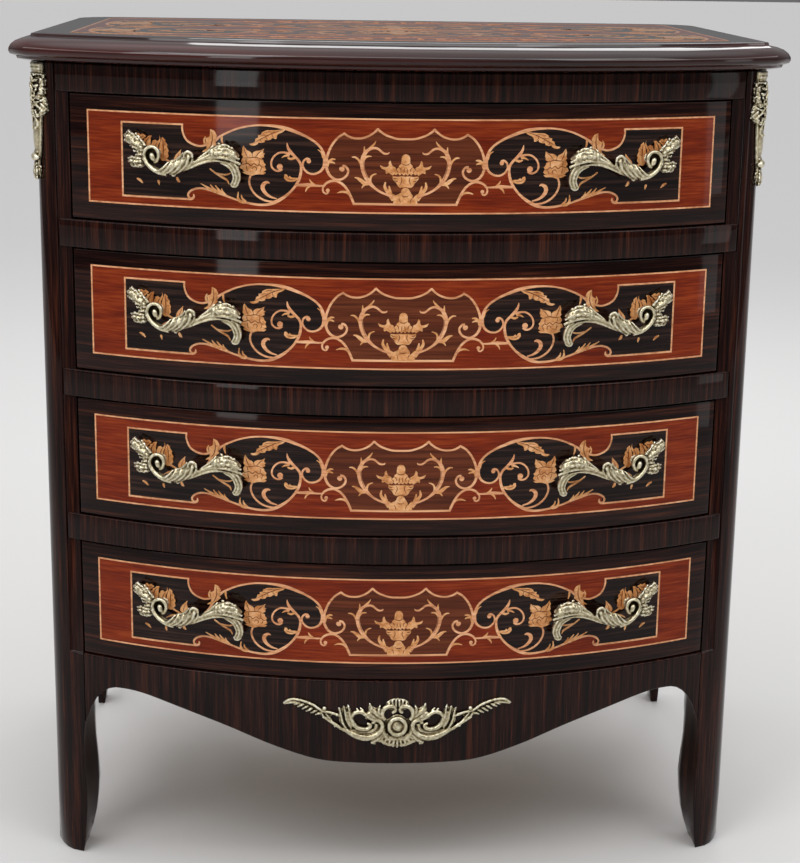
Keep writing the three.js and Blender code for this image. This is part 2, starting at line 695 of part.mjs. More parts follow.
// A handle of the left side, standing on the plane y = 0 and facing -Y
function handleBody() {
  const parts = [
    handleTube(BAR_SHARES, BAR_STEPS, 1),
    handleTube(UPPER_LEAF_SHARES, LEAF_STEPS, LEAF_FLATNESS_SHARE),
    handleTube(LOWER_LEAF_SHARES, LEAF_STEPS, LEAF_FLATNESS_SHARE),
    handleTube(TWIST_LEAF_SHARES, LEAF_STEPS, TWIST_FLATNESS_SHARE),
    handleTube(CLUSTER_SHARES, LEAF_STEPS, TWIST_FLATNESS_SHARE),
    handleTube(TAIL_SHARES, LEAF_STEPS, 1),
    handleTube(LINK_SHARES, LINK_STEPS, 1),
  ];
  const knob = new THREE.SphereGeometry(HANDLE_KNOB_RADIUS, TUBE_SIDES + 1, TUBE_SIDES - 1);
  const knobAt = handlePoint(KNOB_PLACE_SHARE);
  parts.push(solid(knob.translate(knobAt.x, knobAt.y, knobAt.z)));
  POST_SHARES.forEach(([across, up]) => {
    const x = across * HANDLE_LENGTH;
    const near = Math.abs(x) - HANDLE_POST_RADIUS;
    const setBack = DRAWER_OUTER_RADIUS - Math.sqrt(DRAWER_OUTER_RADIUS ** 2 - near ** 2);
    const length = POST_REACH_SHARE * HANDLE_STANDOFF + setBack;
    const post = new THREE.CylinderGeometry(
      HANDLE_POST_RADIUS, HANDLE_POST_RADIUS, length, TUBE_SIDES + 1,
    );
    post.translate(x, setBack - length / 2, up * HANDLE_HEIGHT);
    parts.push(solid(post));
  });
  return joined(parts);
}

// The handle, turned to the curve of the drawer front and set on it
function makeHandles() {
  const left = bare(meshed(handleBody()));
  const turn = Math.asin(HANDLE_OFFSET / DRAWER_OUTER_RADIUS);
  for (let number = 1; number <= DRAWER_COUNT; number += 1) {
    const z = openingBottom(number) + OPENING_HEIGHT / 2 + HANDLE_RAISE;
    const placed = left.clone();
    placed.translate(0, -DRAWER_OUTER_RADIUS - FIT_GAP, z);
    placed.rotateZ(-turn);
    placed.translate(0, CENTRE_Y, 0);
    piece(`drawer_${number}_handle_left`, placed, BRASS);
    piece(`drawer_${number}_handle_right`, mirrored(placed), BRASS);
  }
}

// The apron mount

// Right half of the outline from the top of the crest: shares of half the width and of the height
const CREST_SHARES = [
  [0, 1], [0.05, 0.98], [0.08, 0.89], [0.15, 0.87], [0.2, 0.82], [0.235, 0.93], [0.25, 0.88],
  [0.245, 0.73], [0.3, 0.76], [0.345, 0.74], [0.37, 0.87], [0.43, 0.8], [0.46, 0.65], [0.53, 0.67],
  [0.575, 0.77], [0.63, 0.75], [0.75, 0.84], [0.85, 0.9], [0.93, 0.88], [1, 0.8],
  [0.96, 0.74], [0.86, 0.72], [0.78, 0.62], [0.7, 0.58], [0.58, 0.43], [0.47, 0.33],
  [0.34, 0.22], [0.26, 0.19], [0.21, 0.1], [0.15, 0.11], [0.09, 0.06], [0, 0],
];
const MOUNT_HOLE_SHARES = [
  [[0.05, 0.7], [0.1, 0.78], [0.14, 0.68], [0.1, 0.6]],
  [[0.26, 0.5], [0.3, 0.6], [0.37, 0.58], [0.39, 0.49], [0.32, 0.43]],
  [[0.48, 0.5], [0.52, 0.57], [0.55, 0.5], [0.5, 0.45]],
];
const BOSS_HEIGHT_SHARE = 0.47;
const BOSS_OVAL_SHARE = 0.82;

function makeApronMount() {
  const at = ([x, z]) => new THREE.Vector2(
    x * APRON_MOUNT_HALF_WIDTH,
    APRON_MOUNT_BOTTOM + z * APRON_MOUNT_HEIGHT,
  );
  const mirror = ([x, z]) => [-x, z];
  const right = CREST_SHARES.map(at);
  const left = CREST_SHARES.slice(1, -1).map(mirror).map(at).reverse();
  const shape = new THREE.Shape([...right, ...left].reverse());
  MOUNT_HOLE_SHARES.forEach((hole) => {
    shape.holes.push(new THREE.Path(hole.map(at)));
    shape.holes.push(new THREE.Path(hole.map(mirror).map(at)));
  });
  const prism = new THREE.ExtrudeGeometry(shape, {
    depth: FRONT_SAGITTA + MOUNT_THICKNESS + OVERRUN,
    bevelEnabled: false,
  });
  prism.rotateX(Math.PI / 2);
  prism.translate(0, CHORD_Y, 0);
  const top = APRON_MOUNT_BOTTOM + APRON_MOUNT_HEIGHT + OVERRUN;
  const bottom = APRON_MOUNT_BOTTOM - OVERRUN;
  const reach = APRON_MOUNT_HALF_WIDTH + OVERRUN;
  const outline = [
    ...arcPoints(-reach, reach, FRONT_RADIUS + MOUNT_THICKNESS + FIT_GAP, FRONT_STEPS / 2),
    ...arcPoints(reach, -reach, FRONT_RADIUS + FIT_GAP, FRONT_STEPS / 2),
  ];
  const plate = solid(raised(outline, bottom, top)).intersect(solid(prism));
  const boss = new THREE.SphereGeometry(BOSS_RADIUS, 2 * TUBE_SIDES, TUBE_SIDES);
  boss.scale(BOSS_OVAL_SHARE, BOSS_DEPTH / BOSS_RADIUS, 1);
  const bossZ = APRON_MOUNT_BOTTOM + BOSS_HEIGHT_SHARE * APRON_MOUNT_HEIGHT;
  boss.translate(0, FRONT_Y - MOUNT_THICKNESS - FIT_GAP, bossZ);
  const keep = block(
    -BOSS_RADIUS, BOSS_RADIUS, FRONT_Y - OVERRUN - BOSS_DEPTH - MOUNT_THICKNESS,
    FRONT_Y - FIT_GAP - MOUNT_THICKNESS / 2, bottom, top,
  );
  piece('apron_mount', meshed(plate.add(solid(boss).intersect(solid(keep)))), BRASS);
}

// The corner mounts, wrapped round the columns under the top

// Outline from the top down, as shares of half the width and of the length
const CORNER_MOUNT_SHARES = [
  [0.86, 1], [0.86, 0.93], [0.98, 0.9], [1, 0.8], [0.92, 0.72], [1.08, 0.68], [1.1, 0.6],
  [0.66, 0.58], [0.62, 0.46], [0.52, 0.33], [0.3, 0.27], [0.5, 0.24], [0.56, 0.19],
  [0.26, 0.14], [0.4, 0.1], [0.36, 0.03], [0, 0],
];
const BALL_HEIGHT_SHARE = 0.205;
const COLUMN_START = 2;

function makeCornerMounts() {
  const top = CASE_TOP - CORNER_MOUNT_DROP;
  const bottom = top - CORNER_MOUNT_LENGTH;
  const level = LEG_SHARES.at(-1);
  const inside = postSection(level, 0, FIT_GAP);
  const outside = postSection(level, 0, FIT_GAP + CORNER_MOUNT_THICKNESS);
  const column = outside.slice(COLUMN_START, COLUMN_START + CORNER_STEPS + 1);
  const ends = new THREE.Vector2().subVectors(column.at(-1), column[0]);
  const facing = Math.atan2(ends.y, ends.x);
  const middle = column[CORNER_STEPS / 2].clone();
  middle.addScaledVector(ends.normalize(), CORNER_MOUNT_SHIFT);
  const at = ([x, z]) => new THREE.Vector2(
    x * (CORNER_MOUNT_WIDTH / 2),
    bottom + z * CORNER_MOUNT_LENGTH,
  );
  const right = CORNER_MOUNT_SHARES.map(at);
  const left = CORNER_MOUNT_SHARES.slice(0, -1).map(([x, z]) => at([-x, z])).reverse();
  const prism = new THREE.ExtrudeGeometry(new THREE.Shape([...right, ...left]), {
    depth: 2 * CORNER_DEPTH,
    bevelEnabled: false,
  });
  prism.rotateX(Math.PI / 2);
  prism.translate(0, CORNER_DEPTH, 0);
  prism.rotateZ(facing);
  prism.translate(middle.x, middle.y, 0);
  const shell = solid(raised(outside, bottom - OVERRUN, top + OVERRUN))
    .subtract(solid(raised(inside, bottom - 2 * OVERRUN, top + 2 * OVERRUN)));
  const ball = new THREE.SphereGeometry(BALL_RADIUS, TUBE_SIDES + 2, TUBE_SIDES);
  ball.translate(middle.x, middle.y, bottom + BALL_HEIGHT_SHARE * CORNER_MOUNT_LENGTH);
  const cut = solid(raised(inside, bottom - 2 * OVERRUN, top + 2 * OVERRUN));
  const mount = meshed(shell.intersect(solid(prism)).add(solid(ball).subtract(cut)));
  piece('corner_mount_right', mount, BRASS);
  piece('corner_mount_left', mirrored(mount), BRASS);
}

makeTop();
makeRails();
makeApron();
makeFrontPosts();
makeBackPosts();
makeSides();
makeBack();
makeBottomBoard();
makeRunners();
for (let number = 1; number <= DRAWER_COUNT; number += 1) {
  makeDrawer(number);
}
makeHandles();
makeApronMount();
makeCornerMounts();

export default chest;
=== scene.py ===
# %% [markdown]
# A bow-fronted commode chest with four drawers, inlaid fronts and cast brass mounts.
# The imported model gives every board its size and place. This notebook loads it first, and
# then dresses each part: veneers, inlays, castings, floor and light.

# %% Load the imported model
import math
import bmesh
import bpy
from mathutils import Matrix, Vector, noise


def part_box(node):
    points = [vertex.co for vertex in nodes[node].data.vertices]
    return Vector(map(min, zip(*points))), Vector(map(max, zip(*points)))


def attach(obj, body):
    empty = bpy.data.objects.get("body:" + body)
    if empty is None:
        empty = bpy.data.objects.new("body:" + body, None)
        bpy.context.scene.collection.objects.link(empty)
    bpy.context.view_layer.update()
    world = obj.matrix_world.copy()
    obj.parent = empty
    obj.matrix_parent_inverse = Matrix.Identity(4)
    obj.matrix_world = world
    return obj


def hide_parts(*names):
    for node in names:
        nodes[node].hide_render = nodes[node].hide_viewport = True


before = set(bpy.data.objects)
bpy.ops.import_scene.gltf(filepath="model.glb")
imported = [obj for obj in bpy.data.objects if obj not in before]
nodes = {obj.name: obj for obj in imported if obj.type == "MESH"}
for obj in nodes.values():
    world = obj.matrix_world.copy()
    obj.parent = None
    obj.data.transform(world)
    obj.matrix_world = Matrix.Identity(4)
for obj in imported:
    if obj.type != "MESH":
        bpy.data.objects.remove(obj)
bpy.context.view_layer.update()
DRAWERS = (1, 2, 3, 4)

# %% [markdown]
# The photograph was taken standing, from a little above the top and slightly to the left of
# the middle. A long lens keeps the uprights nearly straight, so the camera stands 2.3 m away.
# The turns are built as one matrix: first the direction, then the tilt down, then the small roll.

# %% Camera at the photograph's angle
CAMERA_PLACE = Vector((-0.0955, -2.3316, 1.0785))
turn = Matrix.Rotation(math.radians(-2.62), 4, "Z")
tilt = Matrix.Rotation(math.radians(-14.33), 4, "X")
roll = Matrix.Rotation(math.radians(-0.87), 4, "Y")
level = Matrix.Rotation(math.radians(90), 4, "X")

camera = bpy.data.objects.new("camera", bpy.data.cameras.new("camera"))
camera.data.lens = 79.31
camera.data.sensor_width = 36
camera.matrix_world = Matrix.Translation(CAMERA_PLACE) @ turn @ tilt @ roll @ level
bpy.context.collection.objects.link(camera)
bpy.context.scene.camera = camera
bpy.context.scene.view_settings.view_transform = "Standard"
print("camera at", tuple(round(v, 3) for v in CAMERA_PLACE), "lens", camera.data.lens)

# %% [markdown]
# The front of the chest is one large cylinder with an upright axis: rails, drawers, apron and
# inlays all follow it. These values place that cylinder, and one helper gives the bow's depth
# at any x, so that any point of a flat drawing can be laid on it: x and z stay, y follows.
# Neighbours stand a small gap apart, so that nothing is fused.

# %% The bow of the front
MM = 0.001
BOW_RADIUS = 0.78851
BOW_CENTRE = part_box("frieze_rail")[0][1] + BOW_RADIUS
DRAWER_SETBACK = 0.0025
DRAWER_RADIUS = BOW_RADIUS - DRAWER_SETBACK
OPENING_HALF = 0.370
GAP = 0.0003


def bow_y(x, radius):
    """How far back a cylinder round the bow's axis lies at x."""
    return BOW_CENTRE - math.sqrt(radius * radius - x * x)


print("bow centre y", round(BOW_CENTRE, 4), "front y", round(bow_y(0, BOW_RADIUS), 4))

# %% [markdown]
# Selection decides what an operator acts on, and the loaded nodes start out selected. These
# small helpers make one object the only selected and active one, add and copy objects, finish
# a mesh, and hand a piece to its body and material slot.

# %% Working helpers
SHARP_EDGE = math.radians(40)


def only(thing):
    """Selects one object and nothing else."""
    bpy.ops.object.select_all(action="DESELECT")
    thing.select_set(True)
    bpy.context.view_layer.objects.active = thing


def add(name, data):
    """A new object in the scene that holds the given mesh, curve or lamp."""
    thing = bpy.data.objects.new(name, data)
    bpy.context.collection.objects.link(thing)
    return thing


def from_bmesh(name, shape):
    """A new object that holds a finished bmesh."""
    mesh = bpy.data.meshes.new(name)
    shape.to_mesh(mesh)
    shape.free()
    return add(name, mesh)


def own_copy(thing, name):
    """A copy of an object with a mesh of its own."""
    copy = thing.copy()
    copy.data = thing.data.copy()
    copy.name = name
    bpy.context.collection.objects.link(copy)
    return copy


def turn_over(thing):
    """Mirrors a piece left to right; its faces are flipped to point outwards again."""
    thing.data.transform(Matrix.Scale(-1, 4, (1, 0, 0)))
    thing.data.flip_normals()


def modify(thing, kind, **settings):
    """Adds one modifier with its settings and applies it."""
    only(thing)
    modifier = thing.modifiers.new(kind.lower(), kind)
    for key, value in settings.items():
        setattr(modifier, key, value)
    bpy.ops.object.modifier_apply(modifier=modifier.name)


def soft_shade(thing):
    """Smooth shading that keeps the sharp edges sharp."""
    only(thing)
    bpy.ops.object.shade_smooth_by_angle(angle=SHARP_EDGE)


def dress(thing, body, slot, material, *replaced):
    """Gives a finished piece its material and its body, and hides the nodes it stands for; slot is
    not used.
    """
    thing.data.materials.clear()
    thing.data.materials.append(material)
    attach(thing, body)
    if replaced:
        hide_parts(*replaced)


def smooth_line(points, steps):
    """Places along a smooth curve through the given points, of any number of coordinates."""
    line = []
    count = len(points)
    for i in range(count - 1):
        p0, p1 = points[max(i - 1, 0)], points[i]
        p2, p3 = points[i + 1], points[min(i + 2, count - 1)]
        for step in range(steps):
            t = step / steps
            line.append(tuple(
                0.5 * (2 * b + (c - a) * t + (2 * a - 5 * b + 4 * c - d) * t * t
                       + (3 * b - a - 3 * c + d) * t ** 3)
                for a, b, c, d in zip(p0, p1, p2, p3)
            ))
    line.append(tuple(points[-1]))
    return line


print("helpers ready")

# %% [markdown]
# Three kinds of node set-up come back in every material here: the new material itself, a ramp
# of colours, and a sum. They are made once, so that each finish below is short to read.

# %% Material helpers


def new_material(name):
    """A material that uses nodes, its node tree and its shader."""
    material = bpy.data.materials.new(name)
    material.use_nodes = True
    return material, material.node_tree, material.node_tree.nodes["Principled BSDF"]


def colour_ramp(tree, stops):
    """A colour ramp with its (position, colour) stops in rising order."""
    ramp = tree.nodes.new("ShaderNodeValToRGB")
    for number, (position, tone) in enumerate(stops):
        elements = ramp.color_ramp.elements
        stop = elements[number] if number < 2 else elements.new(position)
        stop.position = position
        stop.color = (*tone, 1)
    return ramp


print("material helpers ready")

# %% [markdown]
# Every visible face of the wood is veneer under a thick clear lacquer. In the shader that is a
# dull coloured wood below, and a nearly mirror-smooth coat above it. The figure is noise
# stretched along the grain: broad stripes for the growth rings, fine ones for the pores. On the
# bowed fronts the level grain runs along X and Y, because it follows the bow; on the flat top
# it runs along X alone, so these veneers are made twice.

# %% Lacquered veneers
DARKEST, LIGHTEST = 0.36, 0.66


def veneer(name, tones, grain, stripes, streak, stretch=0.03, coat=1.25):
    """A lacquered veneer: tones from dark to light, the grain's axes, its stripes a metre.

    streak is the share of fine figure, stretch how short the stripes are along the grain, and
    coat the lacquer's refractive index.
    """
    material, tree, shader = new_material(name)
    make, link = tree.nodes.new, tree.links.new
    place = make("ShaderNodeTexCoord")

    def figure(scale, along, detail, seed):
        mapping = make("ShaderNodeMapping")
        mapping.inputs["Location"].default_value = (seed, seed * 0.7, seed * 1.3)
        size = [along if axis in grain else scale for axis in "XYZ"]
        mapping.inputs["Scale"].default_value = size
        cloud = make("ShaderNodeTexNoise")
        cloud.inputs["Scale"].default_value = 1
        cloud.inputs["Detail"].default_value = detail
        cloud.inputs["Distortion"].default_value = 0.12
        link(place.outputs["Object"], mapping.inputs["Vector"])
        link(mapping.outputs["Vector"], cloud.inputs["Vector"])
        return cloud.outputs["Fac"]

    def bump(socket, height, strength, distance):
        relief = make("ShaderNodeBump")
        relief.inputs["Strength"].default_value = strength
        relief.inputs["Distance"].default_value = distance
        link(height, relief.inputs["Height"])
        link(relief.outputs["Normal"], shader.inputs[socket])

    broad = figure(stripes, stripes * stretch, detail=3, seed=len(name))
    fine = figure(stripes * 5, stripes * stretch * 4, detail=2, seed=len(name) + 5)
    waves = figure(20, 8, detail=1, seed=3)
    blend = make("ShaderNodeMix")
    blend.inputs["Factor"].default_value = streak
    link(broad, blend.inputs["A"])
    link(fine, blend.inputs["B"])
    rise = (LIGHTEST - DARKEST) / (len(tones) - 1)
    ramp = colour_ramp(tree, [(DARKEST + rise * i, tone) for i, tone in enumerate(tones)])
    link(blend.outputs["Result"], ramp.inputs["Fac"])
    link(ramp.outputs["Color"], shader.inputs["Base Color"])
    bump("Normal", fine, strength=0.08, distance=0.0002)
    bump("Coat Normal", waves, strength=0.1, distance=0.002)
    shader.inputs["Roughness"].default_value = 0.45
    shader.inputs["Specular IOR Level"].default_value = 0
    shader.inputs["Coat Weight"].default_value = 1
    shader.inputs["Coat Roughness"].default_value = 0.06
    shader.inputs["Coat IOR"].default_value = coat
    return material


STRIPED = ((0.003, 0.001, 0.0008), (0.007, 0.0018, 0.0013), (0.018, 0.005, 0.003),
           (0.05, 0.013, 0.006))
REDDISH = ((0.095, 0.008, 0.001), (0.16, 0.016, 0.002), (0.24, 0.036, 0.006))
BROWNISH = ((0.045, 0.009, 0.003), (0.09, 0.019, 0.006), (0.14, 0.034, 0.011))
NEARLY_BLACK = ((0.003, 0.0012, 0.001), (0.01, 0.004, 0.003), (0.045, 0.02, 0.013))
MOULDED = ((0.008, 0.0015, 0.0012), (0.022, 0.0035, 0.0025), (0.05, 0.008, 0.005))
PALE_STRING = ((0.42, 0.17, 0.075), (0.62, 0.29, 0.14), (0.76, 0.42, 0.23))
PALE_LEAF = ((0.4, 0.15, 0.045), (0.6, 0.28, 0.11), (0.74, 0.42, 0.21))
GOLDEN = ((0.36, 0.12, 0.035), (0.57, 0.25, 0.09), (0.7, 0.37, 0.16))
SCORCHED = ((0.06, 0.014, 0.004), (0.11, 0.028, 0.008), (0.17, 0.045, 0.014))
TOP_COAT = 1.4
upright_veneer = veneer("striped_veneer_upright", STRIPED, "Z", 190, 0.4)
level_veneer = veneer("striped_veneer_level", STRIPED, "XY", 200, 0.35)
red_veneer = veneer("red_veneer", REDDISH, "XY", 110, 0.5, 0.07)
brown_veneer = veneer("brown_veneer", BROWNISH, "XY", 190, 0.35)
reserve_veneer = veneer("reserve_veneer", NEARLY_BLACK, "XY", 230, 0.3)
top_border_veneer = veneer("striped_veneer_top", STRIPED, "X", 170, 0.4, coat=TOP_COAT)
top_red_veneer = veneer("red_veneer_top", REDDISH, "X", 75, 0.4, coat=TOP_COAT)
top_brown_veneer = veneer("brown_veneer_top", BROWNISH, "X", 150, 0.35, coat=TOP_COAT)
top_dark_veneer = veneer("reserve_veneer_top", NEARLY_BLACK, "X", 190, 0.3, coat=TOP_COAT)
edge_wood = veneer("dark_moulded_wood", MOULDED, "XY", 60, 0.4, coat=1.42)
string_wood = veneer("string_wood", PALE_STRING, "X", 90, 0.5)
leaf_wood = veneer("leaf_wood", PALE_LEAF, "X", 130, 0.3, 0.7)
petal_wood = veneer("petal_wood", GOLDEN, "Z", 150, 0.3, 0.5)
scorched_wood = veneer("scorched_wood", SCORCHED, "X", 90, 0.4)
print("veneers:", len(bpy.data.materials))

# %% [markdown]
# The drawer fronts, rails and apron are thick boards sawn to the bow. Each one starts as a cube
# of the right size, which is cut across many times so that it can bend, and then every vertex
# is laid on the cylinder. The mesh is fine enough for the lacquer to mirror without corners.
# A rail is a thin rounded sheet in front, which laps over the posts, and a core behind it.

# %% Boards bent to the bow
BOARD_CUTS = 95
FRONT_THICKNESS, FRONT_ROUND = 0.02, 0.0011
SHEET_THICKNESS, SHEET_ROUND = 0.006, 0.002
CORE_SETBACK, CORE_DEPTH = 0.003, 0.04


def bent_board(name, half, bottom, top, outer, inner, rounding, lower_edge=None):
    """A board between two radii; lower_edge may give the height of its lower edge at x."""
    bpy.ops.object.select_all(action="DESELECT")
    bpy.ops.mesh.primitive_cube_add(size=1, location=(0, 0, 0))
    board = bpy.context.object
    board.name = name
    bpy.ops.object.mode_set(mode="EDIT")
    for cut in range(1, BOARD_CUTS + 1):
        place = cut / (BOARD_CUTS + 1) - 0.5
        bpy.ops.mesh.select_all(action="SELECT")
        bpy.ops.mesh.bisect(plane_co=(place, 0, 0), plane_no=(1, 0, 0))
    bpy.ops.object.mode_set(mode="OBJECT")
    for vertex in board.data.vertices:
        x = vertex.co.x * 2 * half
        radius = outer if vertex.co.y < 0 else inner
        low = lower_edge(x) if lower_edge else bottom
        vertex.co = (x, bow_y(x, radius), top if vertex.co.z > 0 else low)
    if rounding:
        modify(board, "BEVEL", width=rounding, segments=3, angle_limit=math.radians(60))
    soft_shade(board)
    return board


for number in DRAWERS:
    low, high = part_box(f"drawer_{number}_front")
    front = bent_board(f"front_board_{number}", high[0], low[2], high[2],
                       DRAWER_RADIUS, DRAWER_RADIUS - FRONT_THICKNESS, FRONT_ROUND)
    dress(front, f"drawer_{number}", "red_wood", level_veneer, f"drawer_{number}_front")

for name in ("frieze_rail", "drawer_rail_1", "drawer_rail_2", "drawer_rail_3"):
    low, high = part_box(name)
    rail = bent_board(f"{name}_board", high[0], low[2], high[2],
                      BOW_RADIUS, BOW_RADIUS - SHEET_THICKNESS, SHEET_ROUND)
    core = bent_board(f"{name}_core", OPENING_HALF - GAP, low[2], high[2],
                      BOW_RADIUS - CORE_SETBACK, BOW_RADIUS - CORE_DEPTH, 0)
    dress(rail, "carcase", "dark_wood", upright_veneer, name)
    dress(core, "carcase", "dark_wood", upright_veneer)
print("bent boards:", len(DRAWERS) + 8)

# %% [markdown]
# The apron's lower edge is an ogee: it hangs low in the middle, sweeps up towards the sides and
# turns down into the legs. The curve is drawn for the right half in shares of its width and
# height, and the board above is made again with this curve as its lower edge.

# %% Apron
APRON_THICKNESS, APRON_ROUND = 0.022, 0.0018
APRON_BOTTOM, APRON_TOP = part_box("apron")[0][2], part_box("apron")[1][2]
OGEE_SHARES = ((0, 0), (0.13, 0.005), (0.25, 0.035), (0.385, 0.17), (0.54, 0.37), (0.7, 0.54),
               (0.8, 0.63), (0.87, 0.65), (0.915, 0.62), (0.955, 0.49), (0.983, 0.3), (1, 0.12))
ogee_line = smooth_line(OGEE_SHARES, 8)


def ogee_height(share):
    """Height share of the ogee at a share of half its width."""
    for (x0, z0), (x1, z1) in zip(ogee_line, ogee_line[1:]):
        if x0 <= share <= x1:
            return z0 + (z1 - z0) * (share - x0) / max(x1 - x0, 1e-9)
    return ogee_line[-1][1]


def apron_edge(x):
    """Height of the apron's lower edge at x."""
    return APRON_BOTTOM + ogee_height(abs(x) / OPENING_HALF) * (APRON_TOP - APRON_BOTTOM)


apron = bent_board("apron_board", OPENING_HALF - GAP, APRON_BOTTOM, APRON_TOP,
                   BOW_RADIUS, BOW_RADIUS - APRON_THICKNESS, APRON_ROUND, apron_edge)
dress(apron, "carcase", "dark_wood", upright_veneer, "apron")
print("apron from", round(APRON_BOTTOM, 4), "to", round(APRON_TOP, 4))

# %% [markdown]
# The posts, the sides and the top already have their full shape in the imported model, so they
# are copied and refined: doubles are merged, the sharp corners get a small round, and the
# surface is shaded smooth. The top's flat is lowered by half a millimetre, for its veneers.

# %% Posts, sides and top
POST_ROUND, TOP_ROUND = 0.0008, 0.0006
VENEER_DEPTH = 0.00048


def refined_copy(node, rounding):
    """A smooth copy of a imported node."""
    copy = own_copy(nodes[node], f"{node}_shape")
    only(copy)
    bpy.ops.object.mode_set(mode="EDIT")
    bpy.ops.mesh.select_all(action="SELECT")
    bpy.ops.mesh.remove_doubles(threshold=0.00001)
    bpy.ops.mesh.dissolve_limited(angle_limit=math.radians(1))
    bpy.ops.object.mode_set(mode="OBJECT")
    modify(copy, "BEVEL", width=rounding, segments=2, angle_limit=math.radians(45))
    soft_shade(copy)
    return copy


for node in ("front_left_post", "front_right_post", "back_left_post", "back_right_post",
             "left_side", "right_side"):
    dress(refined_copy(node, POST_ROUND), "carcase", "dark_wood", upright_veneer, node)
top_shape = refined_copy("top", TOP_ROUND)
TOP_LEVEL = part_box("top")[1][2]
for vertex in top_shape.data.vertices:
    if vertex.co.z > TOP_LEVEL - VENEER_DEPTH:
        vertex.co.z = TOP_LEVEL - VENEER_DEPTH
dress(top_shape, "carcase", "dark_wood", edge_wood, "top")
print("posts, sides and top refined")

# %% [markdown]
# Marquetry is a picture in thin veneers: a red field, darker grounds sawn into it, and pale
# scrolls and leaves sawn into those. Here each layer is drawn flat first, in millimetres: x from
# the middle of the drawer, z from the lower edge of the red field. Two helpers draw it: a patch
# fills an outline, and a band follows a line with a width of its own at every point. The rise
# is a height above the layer's own level; it keeps pieces that cross from sharing one plane.

# %% Drawing flat veneer
FIELD_HALF, FIELD_HEIGHT = 347.8, 100.3
DISC_SIDES = 20


def outline(*runs):
    """A closed outline of smooth runs; the runs meet at corners."""
    line = []
    for run, following in zip(runs, runs[1:] + runs[:1]):
        points = list(run) + [following[0]]
        line += smooth_line(points, 4)[:-1] if len(points) > 2 else points[:-1]
    return line


def lay_patch(drawing, points, rise=0):
    """Fills an outline of (x, z) points."""
    rim = [drawing.verts.new((x * MM, -rise * MM, z * MM)) for x, z in points]
    drawing.faces.new(rim)


def lay_band(drawing, points, rise=0, steps=5):
    """A band through (x, z, width) points."""
    line = smooth_line(points, steps) if len(points) > 2 else points
    pairs = []
    for i, (x, z, width) in enumerate(line):
        x0, z0, _ = line[max(i - 1, 0)]
        x1, z1, _ = line[min(i + 1, len(line) - 1)]
        run = math.hypot(x1 - x0, z1 - z0) or 1
        dx, dz = -(z1 - z0) / run * width / 2, (x1 - x0) / run * width / 2
        pairs.append([drawing.verts.new(((x + s * dx) * MM, -rise * MM, (z + s * dz) * MM))
                      for s in (-1, 1)])
    for (a, b), (c, d) in zip(pairs, pairs[1:]):
        drawing.faces.new((a, b, d, c))


def lay_disc(drawing, x, z, radius, rise):
    """A small round bead of veneer, such as the eye of a scroll."""
    turns = [math.tau * i / DISC_SIDES for i in range(DISC_SIDES)]
    lay_patch(drawing, [(x + radius * math.cos(a), z + radius * math.sin(a)) for a in turns], rise)


def mirrored(points):
    """The mirror image of a line or outline, which runs the other way round."""
    return [(-point[0], *point[1:]) for point in reversed(points)]


def lay_both(lay, drawing, points, rise=0):
    """Lays a patch or a band, and its mirror image."""
    lay(drawing, points, rise)
    lay(drawing, mirrored(points), rise)


print("field", 2 * FIELD_HALF, "by", FIELD_HEIGHT, "mm")

# %% [markdown]
# A finished drawing is cut by upright lines every few millimetres, so that it can bend, and each
# vertex is laid on the bow at its own small height. Solidify gives the veneer its thickness. The
# shading normals are set from the bow itself, so that the lacquer mirrors as over one smooth
# surface, whatever way the drawing was cut.

# %% Bending a drawing to the bow
STRIP = 0.006
VENEER_THICKNESS = 0.0003
FACING_OUT = 0.7
FIELD_INSET_BELOW = 0.0202
FIELD_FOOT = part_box("drawer_1_front")[0][2] + FIELD_INSET_BELOW
DRAWER_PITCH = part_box("drawer_2_front")[0][2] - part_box("drawer_1_front")[0][2]
LAYER_HEIGHT = {"red_field": 0.1, "dark_ground": 0.18, "cartouche": 0.2, "leaves": 0.22,
                "scrolls": 0.26, "petals": 0.3, "veins": 0.5}


def set_bow_normals(thing):
    """Faces that look outwards shade like the bow; the others stay as they are."""
    mesh = thing.data
    normals = [None] * len(mesh.loops)
    for face in mesh.polygons:
        for loop in face.loop_indices:
            x, y, _ = mesh.vertices[mesh.loops[loop].vertex_index].co
            out = Vector((x, y - BOW_CENTRE, 0)).normalized()
            normals[loop] = out if out.dot(face.normal) > FACING_OUT else face.normal.copy()
    mesh.normals_split_custom_set(normals)


def face_forward(drawing):
    """Turns every face of a drawing towards -Y."""
    drawing.normal_update()
    for face in drawing.faces:
        if face.normal.y > 0:
            face.normal_flip()


def bend_drawing(drawing, name):
    """Turns a flat drawing into veneer on the lowest drawer's front."""
    bmesh.ops.triangulate(drawing, faces=drawing.faces[:], ngon_method="EAR_CLIP")
    strips = int(FIELD_HALF * MM / STRIP)
    for cut in range(-strips, strips + 1):
        everything = drawing.verts[:] + drawing.edges[:] + drawing.faces[:]
        bmesh.ops.bisect_plane(drawing, geom=everything, plane_co=(cut * STRIP, 0, 0),
                               plane_no=(1, 0, 0))
    face_forward(drawing)
    for vertex in drawing.verts:
        x, rise, z = vertex.co
        radius = DRAWER_RADIUS + LAYER_HEIGHT[name] * MM - rise
        vertex.co = (x, bow_y(x, radius), z + FIELD_FOOT)
    piece = from_bmesh(name, drawing)
    for face in piece.data.polygons:
        face.use_smooth = True
    modify(piece, "SOLIDIFY", thickness=VENEER_THICKNESS, offset=-1)
    set_bow_normals(piece)
    return piece


